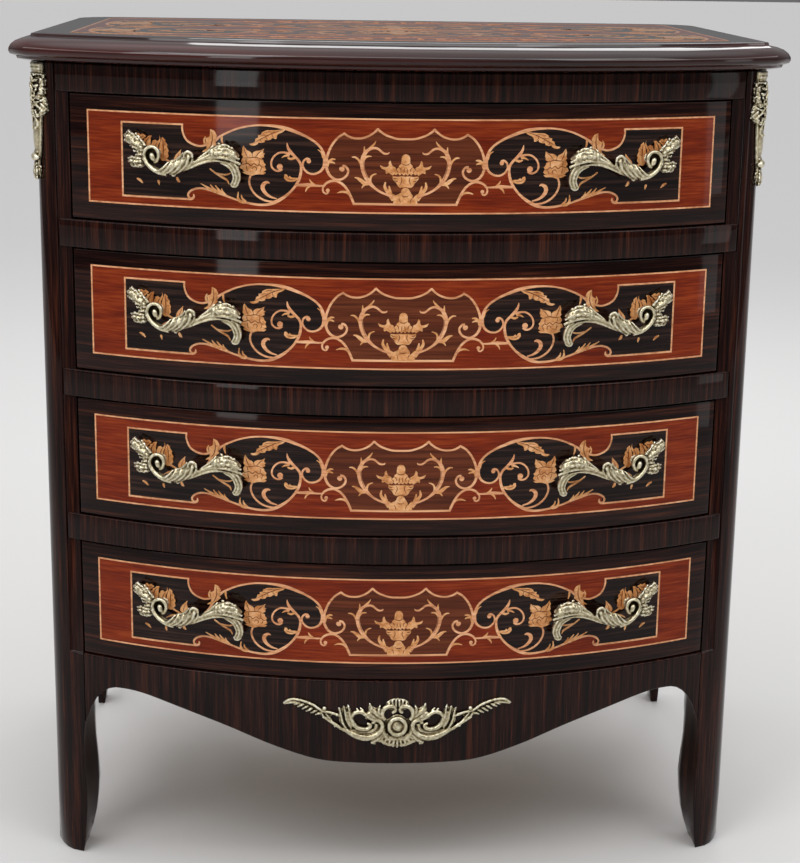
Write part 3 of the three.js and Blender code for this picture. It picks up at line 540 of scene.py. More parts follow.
def inlay_drawers(drawing, name, material):
    """Lays a drawing on the lowest drawer and copies it to the others."""
    first = bend_drawing(drawing, name)
    for number in DRAWERS:
        piece = first if number == 1 else own_copy(first, name)
        if number > 1:
            piece.data.transform(Matrix.Translation((0, 0, (number - 1) * DRAWER_PITCH)))
        piece.name = f"{name}_{number}"
        dress(piece, f"drawer_{number}", "red_wood", material)


print("drawer pitch", round(DRAWER_PITCH, 4))

# %% [markdown]
# The red field fills the drawer front inside a pale string. On it lie two dark grounds, which
# are mirror images, and a brown cartouche in the middle with pointed arches along its top.
# Their outlines run under the middle of the scrolls that border them, so no gap shows.

# %% Red field and darker grounds
field = bmesh.new()
lay_patch(field, [(-FIELD_HALF, 0), (FIELD_HALF, 0), (FIELD_HALF, FIELD_HEIGHT),
                  (-FIELD_HALF, FIELD_HEIGHT)])
inlay_drawers(field, "red_field", red_veneer)

GROUND_LEFT = [(241, 89.3), (241, 84), (239, 77), (235.5, 71.8), (229, 68.2), (222, 66.8),
               (214, 69), (207, 71.5), (200, 77.5), (192, 82), (182, 86.2), (172, 89), (162, 90.7),
               (152, 91), (140, 90.6), (128, 88.2), (116, 84.3), (106, 80), (97, 74.5), (91, 68.5),
               (88, 62), (87, 56), (88, 49), (91.5, 44), (97, 41), (103, 41), (108, 44.5),
               (111.5, 48)]
GROUND_FOOT = [(112.5, 46), (113, 40), (115.5, 33), (119, 27), (125, 20), (133, 13.5), (142, 8.8),
               (150, 6.5), (158, 6), (168, 7.2), (178, 9.5), (188, 12.3), (198, 15.8), (208, 19),
               (218, 21.2), (226, 20.8), (232, 18), (235.5, 14), (234.5, 10)]
GROUND_CORNERS = [(233, 8.7)], [(309, 8.7)], [(309, 89.3)]
ground = bmesh.new()
lay_both(lay_patch, ground, outline(GROUND_LEFT, GROUND_FOOT, *GROUND_CORNERS))
inlay_drawers(ground, "dark_ground", reserve_veneer)

CARTOUCHE_RUNS = (
    [(55, 9.6), (58, 16), (61.5, 23), (66.5, 29.5), (73.5, 33.8), (80.5, 38.8), (84.3, 45.5),
     (85.4, 54), (84, 61), (81, 69), (77, 75.5), (72, 81)],
    [(66, 84.6), (62, 82), (56, 80), (48, 80), (40, 82.5), (34, 86.5)],
    [(30.5, 90.2), (26, 86.3), (20, 83), (10, 80), (0, 79.6)],
)
CARTOUCHE_FOOT = 9.6
cartouche_half = []
for run, following in zip(CARTOUCHE_RUNS, CARTOUCHE_RUNS[1:] + ([],)):
    line = smooth_line(run + following[:1], 4)
    cartouche_half += line[:-1] if following else line
cartouche = bmesh.new()
lay_patch(cartouche, cartouche_half + mirrored(cartouche_half[:-1]))
inlay_drawers(cartouche, "cartouche", brown_veneer)
print("grounds laid on", len(DRAWERS), "drawers")

# %% [markdown]
# The scrolls are one continuous line in the real pattern: it frames the dark ground, winds
# through the cartouche and ends in small eyes. Each band below is one stroke of that line, with
# its width in millimetres as the third number, thick in the bends and thin at the tips. Only
# the right half is drawn, and each stroke lies a few thousandths above the one before it.

# %% Scrolls and strings
STRING, EDGE_STRING = 1.9, 1.7
SCROLL_STEP, EYE_RISE, EYE_STEP = 0.006, 0.1, 0.004
SCROLLS = (
    [(309, 89.3, STRING), (240.2, 89.3, STRING)],
    [(309, 90.2, STRING), (309, 7.8, STRING)],
    [(309.9, 8.7, 2.1), (232, 8.7, 2.1)],
    [(241, 89.8, 2.0), (241.2, 84, 2.0), (239.2, 77, 2.1), (235.5, 71.8, 2.2), (229, 68.2, 2.2),
     (222, 66.8, 2.2), (215.5, 68.3, 2.4), (211, 71, 2.6)],
    [(223, 50, 0.8), (218.5, 54, 1.8), (214.5, 60, 2.6), (211.5, 66, 4.2), (207, 72, 4.0),
     (200, 77.8, 2.4), (192, 82.3, 2.2), (182, 86.6, 2.0), (172, 89.4, 1.9), (162, 91, 1.9),
     (152, 91.4, 2.1), (140, 90.8, 3.0), (128, 88.6, 3.8), (116, 84.5, 3.2), (106, 80.2, 2.6),
     (97, 74.7, 2.4), (91, 68.7, 2.6), (88, 62, 3.2), (87, 56, 3.6), (88, 49, 3.0), (91.5, 44, 2.6),
     (97, 41.2, 2.2), (103, 41.2, 2.2), (108, 44.5, 2.2), (110.5, 49.5, 2.0), (109.5, 54.5, 2.2),
     (106, 57, 2.4), (103, 56, 2.4)],
    [(229.5, 14.5, 1.0), (229.3, 11.5, 2.4), (231.5, 9.4, 2.8), (234.5, 10.5, 2.4),
     (235.5, 14, 2.3), (232.5, 18, 2.3), (226, 20.8, 2.2), (218, 21, 2.2), (208, 18.8, 2.6),
     (198, 15.6, 2.6), (188, 12.2, 2.2), (178, 9.2, 2.2), (168, 7, 2.4), (158, 5.9, 2.6),
     (150, 6.2, 2.8), (142, 8.6, 3.8), (133, 13.4, 3.4), (125, 19.8, 2.6), (119, 26.8, 2.6),
     (115, 33.5, 3.2), (112.8, 40.5, 3.0), (112.3, 48, 2.6), (114, 53.5, 2.8), (118.5, 58.5, 2.8),
     (123.5, 63.5, 3.6), (126.5, 68.5, 2.6), (127.5, 73.5, 0.7)],
    [(117, 28.5, 2.4), (110, 28.7, 3.2), (104, 29, 3.6), (98, 28.6, 2.4), (92, 28.3, 2.0),
     (86, 28.8, 1.4)],
    [(55, 8.6, 2.6), (58, 16, 2.8), (61.5, 23, 2.6), (66.5, 29.5, 2.6), (73.5, 33.8, 2.6),
     (80.5, 33.6, 2.6), (86, 30.5, 2.4), (88.8, 26, 2.0), (88.2, 21.8, 2.0), (85.3, 20, 2.0),
     (82.8, 21.5, 1.8)],
    [(0, 79.6, 2.2), (10, 80, 2.2), (20, 83, 2.2), (26, 86.3, 2.3), (30.8, 90.4, 2.4)],
    [(30.2, 90.4, 2.4), (34, 86.5, 2.3), (40, 82.5, 2.2), (48, 80, 2.2), (56, 80, 2.2),
     (62, 82, 2.3), (66.4, 84.9, 2.3)],
    [(65.4, 85, 2.4), (72, 81, 2.3), (77, 75.5, 2.4), (81, 69, 2.5), (84, 61, 2.8), (85.4, 54, 3.4),
     (84.3, 45.5, 3.0), (80.5, 38.8, 2.8), (74, 35.3, 2.6), (67.5, 36.6, 2.4), (63, 40.5, 2.4),
     (61.8, 45.5, 2.4), (64.5, 49.5, 2.6), (68, 50, 2.8)],
    [(0, 9.6, 2.6), (56, 9.6, 2.4)],
    [(10, 16, 3.4), (18, 19.3, 2.4), (26, 22.5, 2.4), (33, 27, 2.8), (39, 33, 4.2), (43.5, 40, 4.4),
     (46.2, 48, 4.6), (46.8, 55.5, 4.6), (45, 62, 4.2), (41, 67.3, 3.4), (35, 69.8, 2.6),
     (30, 69, 2.4), (26.5, 66.3, 2.2), (23, 64, 2.2), (19, 64.2, 1.6), (18, 65.8, 0.8)],
    [(124, 61.5, 3.2), (130, 63, 2.2), (136, 62.5, 2.0), (141.5, 58.5, 2.0), (144.3, 53, 2.0),
     (144, 47.5, 2.0), (140.5, 43.8, 2.0), (136, 43.3, 2.4), (133, 45.5, 3.0)],
    [(146.3, 29.5, 1.2), (149, 30.5, 2.8), (152.8, 28.3, 4.2), (153.8, 24, 4.4), (151, 19, 3.6),
     (145.5, 15, 2.4), (138.5, 13, 1.2)],
    [(166.5, 38, 2.2), (168.3, 32, 2.2), (167.5, 26, 2.2), (164, 19.5, 2.2), (158, 14, 2.2),
     (150, 10.5, 2.0), (141, 9.8, 1.5)],
)
EYES = ((104, 54.5, 2.4), (83.5, 23.6, 2.1), (68.3, 46.6, 2.7), (135.2, 47.6, 3.2), (69, 47, 2.4))
strings = bmesh.new()
for z in (0, FIELD_HEIGHT):
    lay_band(strings, [(-FIELD_HALF, z, EDGE_STRING), (FIELD_HALF, z, EDGE_STRING)])
for x in (-FIELD_HALF, FIELD_HALF):
    lay_band(strings, [(x, -EDGE_STRING / 2, EDGE_STRING),
                       (x, FIELD_HEIGHT + EDGE_STRING / 2, EDGE_STRING)])
for number, scroll in enumerate(SCROLLS, 1):
    lay_both(lay_band, strings, scroll, number * SCROLL_STEP)
for number, (x, z, radius) in enumerate(EYES, 1):
    for side in (1, -1):
        lay_disc(strings, side * x, z, radius, EYE_RISE + number * EYE_STEP)
inlay_drawers(strings, "scrolls", string_wood)
print("scrolls:", len(SCROLLS), "eyes:", len(EYES))

# %% [markdown]
# Leaves branch from the scrolls: short curved blades, a long ragged acanthus leaf at the top of
# the dark ground, a tulip in five patches and a rose of four petals. Blades are bands again,
# and the broader leaves are patches whose tips are corners, which is where one run of smooth
# points ends and the next begins. The urn is drawn as the right half of its three tiers.

# %% Leaves and the urn
BLADE_STEP, PATCH_RISE, PATCH_STEP, URN_RISE, PETAL_STEP = 0.005, 0.17, 0.004, 0.21, 0.03
BLADES = (
    [(88.5, 58, 2), (90.5, 64, 1.8), (94.5, 67, 0.6)],
    [(98, 29, 2.4), (101, 31.5, 2.2), (103.2, 35, 0.7)],
    [(103, 28, 2.6), (106, 25, 2.0), (107.5, 21.5, 0.7)],
    [(58.5, 17.5, 2.2), (62.5, 21.5, 2.4), (68, 22.5, 2.2), (73.5, 21, 0.8)],
    [(84.3, 49, 2.6), (82.5, 54.5, 2.8), (79, 57, 2.4), (75.5, 57, 1.1)],
    [(82, 54, 2.2), (78.5, 53.8, 2.0), (75.8, 52.6, 0.9)],
    [(47, 49, 2.4), (50, 56, 2.2), (54, 59.5, 2.0), (58, 59.8, 0.8)],
    [(44.5, 62, 3), (44.5, 67, 2.2), (44.8, 71.5, 0.7)],
    [(42, 66, 3), (37, 71, 2.6), (33.5, 75, 1.6), (32.3, 77.3, 0.6)],
    [(46.5, 55, 3.0), (43.5, 59.5, 2.6), (40, 61, 1.8), (36.7, 60.8, 0.7)],
    [(39, 31.5, 3.0), (44, 32, 4.4), (48, 35, 4.0), (51.5, 37.3, 2.4), (54.8, 38, 0.8)],
    [(43, 31.5, 2.6), (46, 28.5, 1.6), (47, 26.6, 0.6)],
    [(37.5, 31, 2.6), (38, 36, 2.4), (36.5, 40, 2.0), (33.5, 41.8, 1.4), (31.2, 42.4, 0.7)],
    [(13, 14, 3.4), (16.5, 19.5, 4.2), (20.2, 24.5, 3.6), (22.3, 28.6, 3), (21.6, 33.6, 1.4)],
    [(13.5, 16, 3.2), (15.6, 21, 3.2), (17, 25.5, 2.6), (17.6, 29.6, 1.2)],
    [(125, 60, 2.6), (129.5, 59.5, 2), (133.3, 57.3, 0.6)],
    [(118.5, 58, 2.6), (123, 56.3, 2.6), (127, 57.5, 1.5)],
    [(198, 78.5, 2.4), (197.8, 73.5, 2.2), (196.5, 69.3, 1.0)],
    [(173, 7.5, 2.4), (178.5, 9, 3.4), (180.8, 13, 2.2), (180.3, 19, 0.8)],
    [(172, 8.5, 2.2), (176, 12, 2.2), (177, 16, 0.7)],
    [(206, 18, 3.2), (213, 21.8, 2.6), (221.5, 26.4, 0.8)],
    [(201.5, 16.5, 3.2), (207, 20.8, 2.6), (211, 25.8, 0.8)],
    [(196.5, 15.2, 3.2), (201.5, 20, 2.6), (205.5, 25, 0.8)],
    [(194, 14.5, 2.6), (197.5, 18.5, 2.0), (198.5, 22, 0.7)],
    [(211.5, 43, 1.6), (205, 38.3, 2.0), (198, 34.3, 2.4), (192.5, 31, 2.2), (190.3, 26.7, 0.8)],
    [(187.5, 39.5, 0.8), (192.5, 37.3, 1.8), (198, 37.2, 1.8), (204, 38.3, 1.4)],
    [(216.5, 69.5, 2.0), (217.3, 73.5, 2.0), (215.7, 77.6, 0.8)],
    [(264, 53, 2.6), (257, 49, 2.2), (250.5, 45.7, 2.0), (244, 42.5, 1.6)],
    [(268, 38.5, 0.8), (262, 42, 2.2), (255, 43.3, 2.2), (247, 42.8, 1.4)],
    [(293, 28.6, 1.4), (289.3, 26.8, 2.8), (286.2, 23.6, 1.0)],
    [(268.7, 28, 1.8), (268.2, 26, 2.6), (267.4, 22.6, 0.8)],
    [(247.8, 32, 2.0), (246.6, 28.8, 3.2), (244.4, 26.8, 1.0)],
)
PATCHES = (
    ([(128, 88.6), (136, 87), (144, 86.4), (150, 86)], [(154.6, 83.8), (155.4, 81.4)],
     [(158.8, 80.6), (158.4, 78.4)], [(161.4, 77), (162, 74)], [(164, 72), (168.4, 71.2)],
     [(166, 69.4), (162.6, 69.6), (159, 71.2)], [(158.4, 73), (155.4, 72.6), (151.8, 73.6)],
     [(151.2, 75.8), (147.4, 75.6), (144.2, 77.2)], [(143.8, 79.2), (141.6, 77.8), (139, 77.2)],
     [(138.4, 80.4), (136.6, 82.8), (132, 84.8)]),
    ([(114.5, 36), (118, 33), (123, 31.8), (128, 32.8)], [(130.8, 36), (130, 39.6)],
     [(127.4, 39.2), (126, 36.8)], [(124.6, 38.2), (122, 36.4), (119, 36.4)]),
    ([(174.4, 69.4), (176, 65), (175, 61.4)], [(176.4, 59), (173, 55.6), (168, 55.4)],
     [(164.6, 57), (165.4, 60.6)], [(167, 62.6), (171, 64.6)]),
    ([(163.6, 56), (164.6, 61), (161, 63.8), (156.4, 64.4)], [(152, 66.6), (153.4, 62.6)],
     [(151, 61), (153.4, 59.4)], [(152, 57.4), (156.6, 55.4), (160.6, 55)]),
    ([(175, 56.6), (177, 52.6)], [(175, 50), (176, 47.6)], [(170, 46), (158, 46), (152.6, 46.6)],
     [(150.4, 49.4), (152.6, 51.8)], [(153, 54), (156, 56.4)],
     [(158, 55.4), (161, 57.6), (164, 56.4)], [(167, 57), (171, 58.4)]),
    ([(176.6, 49), (178.4, 45.4)], [(175.6, 43.4), (174, 41.6)],
     [(168, 40.6), (158, 40.6), (153, 41.6)], [(150, 43.8), (152, 47.4)],
     [(154.6, 46.6), (157.6, 49.6)], [(159.4, 47.6), (163, 50.6), (166.6, 47.6)],
     [(169.6, 50.4), (173, 49.4)]),
    ([(176, 40.6), (172, 41.4), (166, 41.6)], [(158, 41.4), (150.6, 41)],
     [(153, 38.8), (160, 38.6)], [(165, 37), (168, 37.6)], [(172, 38.4)]),
    ([(13.8, 40.6), (11.2, 44), (10.6, 48.6)], [(12.4, 50), (14.2, 51), (15.4, 53.2), (16.6, 56.6)],
     [(18.4, 54.6), (18.4, 51.4), (20.4, 49.6), (24, 50), (27.8, 51.6)],
     [(26, 48), (22.4, 46.8), (19.8, 47)], [(21.6, 44.8), (21, 42.6)],
     [(18.6, 43.6), (16.8, 42.6)]),
    ([(210.5, 85.5), (206, 83.5)], [(203.2, 78.6), (205.6, 73.6)], [(203.6, 69.6), (208.4, 65.4)],
     [(213, 61.4), (219.6, 60.6)], [(214.6, 64.6), (213.4, 69)],
     [(216, 75.4), (211.6, 77.6), (210.2, 81)]),
    ([(246.6, 45.6), (250.6, 48.6), (250.8, 52.6)], [(248.4, 56.6), (246, 59), (242.6, 62.4)],
     [(243.6, 58), (242.2, 54), (242.8, 49)]),
)
ROSE = (
    ([(281.4, 75.2), (285.6, 77.6)], [(287, 76.2), (290.6, 78)], [(291.8, 76), (295.4, 75.6)],
     [(295.2, 73.8), (298, 71.6)], [(295.6, 70.4), (294.4, 67.6)], [(292, 67.4), (289.6, 65)],
     [(287.8, 67.2), (285.8, 71)]),
    ([(275.2, 76), (279, 75.4)], [(280.2, 73.6), (283.4, 72.4)], [(283.6, 70.8), (286, 68.6)],
     [(285.6, 66.8), (287, 63.6)], [(285.8, 61.6), (284.4, 59.4)],
     [(281, 59), (277.6, 61.4), (276.6, 66), (276.8, 70.6)]),
    ([(266.4, 76.6), (266.6, 72.6), (269, 70)], [(271, 71.6), (274, 70.6)],
     [(274.4, 69), (276.2, 65.6)], [(275.6, 63.6), (275.8, 60.8)], [(274.8, 58.6), (270, 58.2)],
     [(268.2, 61), (267.9, 66), (265.6, 71)]),
    ([(263.6, 74.8), (260.2, 72)], [(260.6, 70.4), (257.9, 66.6)], [(258.6, 64.8), (256.6, 60.4)],
     [(257.6, 58.4), (256.8, 54.4)], [(258.4, 52.2), (260.4, 49.6), (264.6, 49.4)],
     [(266.6, 53.4), (267.4, 60.2), (266.4, 66.8)]),
)
URN = (
    [(0, 27.6), (2.4, 27), (4.3, 25), (4.8, 22.6), (4, 20.2), (4.4, 18.4), (5.6, 19.8), (7.2, 20.4),
     (8, 18.8), (7.4, 17), (9, 16.8), (10.8, 19.4), (13.2, 20.8), (14.4, 19.4), (12.8, 17.6),
     (12.2, 15.2), (13, 12.4), (11.6, 9.8), (0, 9.6)],
    [(0, 39.6), (4, 40), (8.6, 39.4), (13.6, 39.8), (14, 37.4), (12, 34.6), (9.4, 32.2),
     (8.6, 29.8), (6, 27.9), (3, 27.9), (0, 28.4)],
    [(0, 63.6), (2.6, 62.8), (4.4, 60.2), (4.7, 57), (4.2, 54.2), (5, 53.2), (7.2, 51.4),
     (7.6, 49.6), (9.6, 47.8), (10.2, 46.4), (12, 44.4), (12.2, 42.4), (10, 41.4), (8.2, 43),
     (6.2, 41), (4.2, 42.8), (2.1, 40.8), (0, 42.6)],
)
leaves = bmesh.new()
for number, blade in enumerate(BLADES):
    lay_both(lay_band, leaves, blade, number * BLADE_STEP)
for number, patch in enumerate(PATCHES):
    lay_both(lay_patch, leaves, outline(*patch), PATCH_RISE + number * PATCH_STEP)
for tier in URN:
    half = smooth_line(tier, 3)
    lay_patch(leaves, half + mirrored(half[1:-1]), URN_RISE)
inlay_drawers(leaves, "leaves", leaf_wood)

petals = bmesh.new()
for number, petal in enumerate(ROSE):
    lay_both(lay_patch, petals, outline(*petal), number * PETAL_STEP)
inlay_drawers(petals, "petals", petal_wood)
print("blades:", len(BLADES), "patches:", len(PATCHES), "petals:", len(ROSE))

# %% [markdown]
# The real leaves are engraved and scorched: thin brown lines mark veins and the folds between
# petals. They are bands too, up to a millimetre wide in the middle and fine at the tips.

# %% Engraved veins
VEINS = (
    [(131, 87.4, 0.4), (142, 83.6, 0.8), (152, 78.6, 0.8), (163, 72.6, 0.3)],
    [(140, 84.4, 0.3), (147, 84.6, 0.6), (152, 83.4, 0.3)],
    [(148, 81, 0.3), (153.4, 80.6, 0.6), (157, 79.4, 0.3)],
    [(143, 83, 0.3), (143.4, 80.6, 0.6), (141, 78.4, 0.3)],
    [(150, 79.8, 0.3), (149.8, 77.8, 0.6), (148, 76.4, 0.3)],
    [(156, 76.8, 0.3), (156, 75, 0.6), (154.6, 73.6, 0.3)],
    [(174, 67.6, 0.3), (172.6, 62, 0.9), (170, 56.6, 0.3)],
    [(153.6, 65, 0.3), (158, 61.6, 0.9), (162, 56.6, 0.3)],
    [(174.6, 56, 0.3), (168, 56.2, 0.8), (161, 57, 0.8), (153.6, 54.4, 0.3)],
    [(176.4, 48.6, 0.3), (173, 49.4, 0.8), (169.6, 50.2, 0.8), (166.6, 47.8, 0.8), (163, 50.4, 0.8),
     (159.4, 47.8, 0.8), (157.6, 49.4, 0.8), (154.6, 46.8, 0.8), (152, 47.2, 0.3)],
    [(171.6, 55.6, 0.3), (171.8, 53, 0.8), (171, 50.6, 0.3)],
    [(158, 55, 0.3), (157.4, 52.6, 0.8), (157.8, 50, 0.3)],
    [(171.6, 48.6, 0.3), (171, 44.6, 0.8), (170, 41.8, 0.3)],
    [(155, 46.4, 0.3), (155.6, 44, 0.8), (156.8, 41.8, 0.3)],
    [(165, 44, 0.3), (163.8, 46.4, 0.8), (161.2, 46.4, 0.8), (160.2, 44, 0.8), (161.8, 42.4, 0.3)],
    [(263, 72.5, 0.3), (262.4, 64, 1.0), (262.6, 53, 0.3)],
    [(262.4, 66, 0.6), (259.6, 68, 0.3)],
    [(262.4, 60, 0.6), (259, 62, 0.3)],
    [(268.6, 69.5, 0.3), (271.4, 64.6, 0.9), (271.4, 59.6, 0.3)],
    [(278.4, 74, 0.3), (281.8, 68.4, 1.0), (281.8, 60.8, 0.3)],
    [(281.9, 67, 0.6), (284.8, 67.4, 0.3)],
    [(281.9, 63, 0.6), (285, 63, 0.3)],
    [(284.4, 74.6, 0.3), (289.6, 73, 0.9), (295.4, 71.8, 0.3)],
    [(289, 73, 0.6), (290.6, 76, 0.3)],
    [(209, 83, 0.3), (208.2, 76, 0.9), (209.5, 69, 0.9), (213, 63.4, 0.3)],
    [(246.8, 48, 0.3), (247, 52.5, 0.7), (244.6, 58.5, 0.3)],
    [(120, 34.6, 0.3), (124.5, 34.4, 0.6), (128.4, 36.4, 0.3)],
    [(5, 39.4, 0.3), (4, 35, 0.9), (6.4, 29.6, 0.3)],
    [(14, 38.6, 0.3), (11.4, 37.4, 1.0), (9, 37.6, 0.3)],
    [(12.4, 35.6, 0.3), (10.2, 34.6, 1.0), (8, 34.8, 0.3)],
    [(4.4, 54, 0.3), (2.2, 52.4, 0.9), (0, 52, 0.9)],
    [(7.4, 49.6, 0.3), (5.4, 47.6, 0.9), (5.2, 44.4, 0.3)],
    [(1.4, 49, 0.3), (1.8, 46, 0.8), (2.2, 42.6, 0.3)],
    [(10, 46.2, 0.3), (8.6, 45, 0.8), (8.4, 43.4, 0.3)],
    [(4, 19.4, 0.3), (2, 18.2, 0.9), (0, 18, 0.9)],
    [(7.4, 16.6, 0.3), (6, 14.6, 0.8), (5.4, 11, 0.3)],
    [(40.5, 36, 0.3), (44, 46, 0.6), (45.6, 56, 0.3)],
)
veins = bmesh.new()
for vein in VEINS:
    lay_both(lay_band, veins, vein)
inlay_drawers(veins, "veins", scorched_wood)
print("veins:", len(VEINS))

# %% [markdown]
# The top is inlaid as well. The photograph shows its pattern only as pale lines under a bright
# reflection, so the fronts' own cartouche, grounds and scrolls are repeated there at twice the
# size, in all four quarters, inside a red field that follows the bow.

# %% Drawing on the top
TOP_MIDDLE = 13.6
TOP_SCALE = 2.0
TOP_FOOT = 3.0
TOP_BAND_SHARE = 0.6
TOP_REACH = 172
BORDER_INSET, FIELD_INSET = 5, 38
SIDE_MOULDING, EDGE_MOULDING = 28, 3
CORNER_ROUND, LEAST_ROUND = 45, 12
FRONT_STEPS, CORNER_STEPS = 48, 8
TOP_LAYER_HEIGHT = {"top_border": 0.08, "top_red_field": 0.16, "top_grounds": 0.24,
                    "top_cartouche": 0.24, "top_scrolls": 0.32, "top_leaves": 0.34}


def top_rim(inset):
    """The outline of the top's flat, drawn in by an inset in millimetres."""
    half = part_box("top")[1][0] / MM - SIDE_MOULDING - inset
    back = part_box("top")[1][1] / MM - EDGE_MOULDING - inset
    radius = BOW_RADIUS / MM - EDGE_MOULDING - inset
    rounding = max(CORNER_ROUND - inset, LEAST_ROUND)
    front = [(-half + 2 * half * i / FRONT_STEPS) for i in range(FRONT_STEPS + 1)]
    points = [(x, BOW_CENTRE / MM - math.sqrt(radius ** 2 - x * x)) for x in front]
    for i in range(CORNER_STEPS + 1):
        turn_by = math.pi / 2 * i / CORNER_STEPS
        points.append((half - rounding * (1 - math.cos(turn_by)),
                       back - rounding * (1 - math.sin(turn_by))))
    return points + mirrored(points[FRONT_STEPS + 1:])


def fourfold(points):
    """Four images of a drawing's right half, one in each quarter of the top."""
    sides = (-1, 1) if max(point[0] for point in points) > 0 else (1,)
    return [[(s * x * TOP_SCALE, t * (z - TOP_FOOT) * TOP_SCALE + TOP_MIDDLE,
              *(width * TOP_SCALE * TOP_BAND_SHARE for width in rest)) for x, z, *rest in points]
            for s in sides for t in (-1, 1)]


def lay_on_top(drawing, name, material):
    """Turns a flat drawing into veneer on the top."""
    bmesh.ops.triangulate(drawing, faces=drawing.faces[:], ngon_method="EAR_CLIP")
    face_forward(drawing)
    for vertex in drawing.verts:
        x, rise, y = vertex.co
        vertex.co = (x, y, TOP_LEVEL - VENEER_DEPTH + TOP_LAYER_HEIGHT[name] * MM - rise)
    piece = from_bmesh(name, drawing)
    modify(piece, "SOLIDIFY", thickness=VENEER_THICKNESS, offset=-1)
    dress(piece, "carcase", "dark_wood", material)


def inner_part(points):
    """The run of points that stays near the middle."""
    return [point for point in points if point[0] <= TOP_REACH]


print("top field inset", FIELD_INSET, "mm")

# %% [markdown]
# Only what lies near the middle of a drawer front is used, and new lines close the grounds at
# their outer ends and fill the field before and behind the cartouche.

# %% Inlaid top
INNER_PATCHES = 8
BLADE_REACH = 165
TOP_STRING = 3
TOP_EYE_RISE, TOP_PATCH_RISE, TOP_URN_RISE = 0.16, 0.1, 0.13
GROUND_CLOSE = [(170, 8), (176, 26), (178, 48), (176, 70), (170, 88)]
TOP_SCROLLS = (
    [(x, z, 3.2) for x, z in GROUND_CLOSE],
    [(5, 97, 3), (14, 101, 3.4), (24, 107, 4), (30, 115, 3.4), (28, 122, 3), (21, 123, 3),
     (18.6, 118, 2.6), (22, 114.6, 2)],
    [(31, 112, 2.4), (42, 103.6, 3.6), (54, 98.6, 4), (66, 99, 3.4), (73.6, 104, 3),
     (72.6, 110.6, 2.6), (66.4, 111.4, 2), (65, 107, 1.6)],
    [(76, 93, 2), (88, 97, 3.6), (99, 97.4, 3.4), (108, 93.6, 2.4), (112, 90, 1.4)],
    [(40, 105, 3), (46, 111.6, 2.6), (53.6, 115, 0.8)],
    [(52, 99, 3), (58.6, 105, 2.4), (60, 110, 0.8)],
    [(12, 100.6, 3), (8, 107, 2.6), (9.6, 113, 0.8)],
    [(86, 96.6, 3), (89, 102.6, 2.4), (95.6, 105.6, 0.8)],
)
TOP_EYES = ((0, 99, 4.4), (9, 115.6, 2), (19.6, 119, 2.4), (66.6, 109, 2.4))
border, top_field = bmesh.new(), bmesh.new()
lay_patch(border, top_rim(BORDER_INSET))
lay_patch(top_field, top_rim(FIELD_INSET))
lay_on_top(border, "top_border", top_border_veneer)
lay_on_top(top_field, "top_red_field", top_red_veneer)

top_ground = bmesh.new()
inner_ground = outline(inner_part(GROUND_LEFT), inner_part(GROUND_FOOT)[:-1], GROUND_CLOSE)
for image in fourfold(inner_ground):
    lay_patch(top_ground, image)
lay_on_top(top_ground, "top_grounds", top_dark_veneer)
top_cartouche = bmesh.new()
for image in fourfold(cartouche_half + [(0, CARTOUCHE_FOOT)]):
    lay_patch(top_cartouche, image)
lay_on_top(top_cartouche, "top_cartouche", top_brown_veneer)

top_strings = bmesh.new()
rim = top_rim(FIELD_INSET)
lay_band(top_strings, [(x, y, TOP_STRING) for x, y in rim + rim[:2]], steps=1)
chosen = [inner_part(scroll) for scroll in SCROLLS] + list(TOP_SCROLLS)
for number, scroll in enumerate(line for line in chosen if len(line) > 1):
    for image in fourfold(scroll):
        lay_band(top_strings, image, number * BLADE_STEP)
for x, z, radius in EYES + TOP_EYES:
    for (eye_x, eye_y), in fourfold([(x, z)]):
        lay_disc(top_strings, eye_x, eye_y, radius * TOP_SCALE, TOP_EYE_RISE)
lay_on_top(top_strings, "top_scrolls", string_wood)

top_leaves = bmesh.new()
inner_blades = [line for line in BLADES if max(point[0] for point in line) < BLADE_REACH]
for number, blade in enumerate(inner_blades):
    for image in fourfold(blade):
        full = [(x, y, width / TOP_BAND_SHARE) for x, y, width in image]
        lay_band(top_leaves, full, number * BLADE_STEP)
for number, patch in enumerate(PATCHES[:INNER_PATCHES]):
    for image in fourfold(outline(*patch)):
        lay_patch(top_leaves, image, TOP_PATCH_RISE + number * PATCH_STEP)
for tier in URN:
    for image in fourfold(smooth_line(tier, 3)):
        lay_patch(top_leaves, image, TOP_URN_RISE)
lay_on_top(top_leaves, "top_leaves", leaf_wood)
print("inner blades on the top:", len(inner_blades))

# %% [markdown]
# The handles and mounts are cast brass. A founder's model would be carved in wax from strands
# and beads: ribs for the leaves, thicker strokes for the scrolls. The same is done here: each
# strand is a curve with a thickness at every point, flat plates back the flutes, all become one
# mesh, and a voxel remesh melts them together as one casting. A little smoothing rounds the
# joints, and noise along the normals cuts the chisel marks. All sizes are in millimetres.

# %% Wax models from strands, beads and plates
VOXEL = 0.6
THINNEST = 0.4
MARKS_A_METRE = 330
FINER, FINE_SHARE = 2.3, 0.4


def add_strands(curve, lines, fatten, lift):
    """Adds smooth tapering strands through (x, z, out, radius) points in millimetres."""
    for line in lines:
        places = smooth_line(line, 4)
        spline = curve.splines.new("POLY")
        spline.points.add(len(places) - 1)
        for point, (x, z, out, radius) in zip(spline.points, places):
            point.co = (x * MM, -(out + lift) * MM, z * MM, 1)
            point.radius = max(radius, THINNEST) * fatten


def add_bead(shape, place, size):
    """Adds a ball at (x, z, out) with (half width, half depth, half height)."""
    (x, z, out), (wide, deep, high) = place, size
    put = Matrix.Translation((x * MM, -out * MM, z * MM))
    stretch = Matrix.Diagonal((wide * MM, deep * MM, high * MM, 1))
    bmesh.ops.create_icosphere(shape, subdivisions=3, radius=1, matrix=put @ stretch)


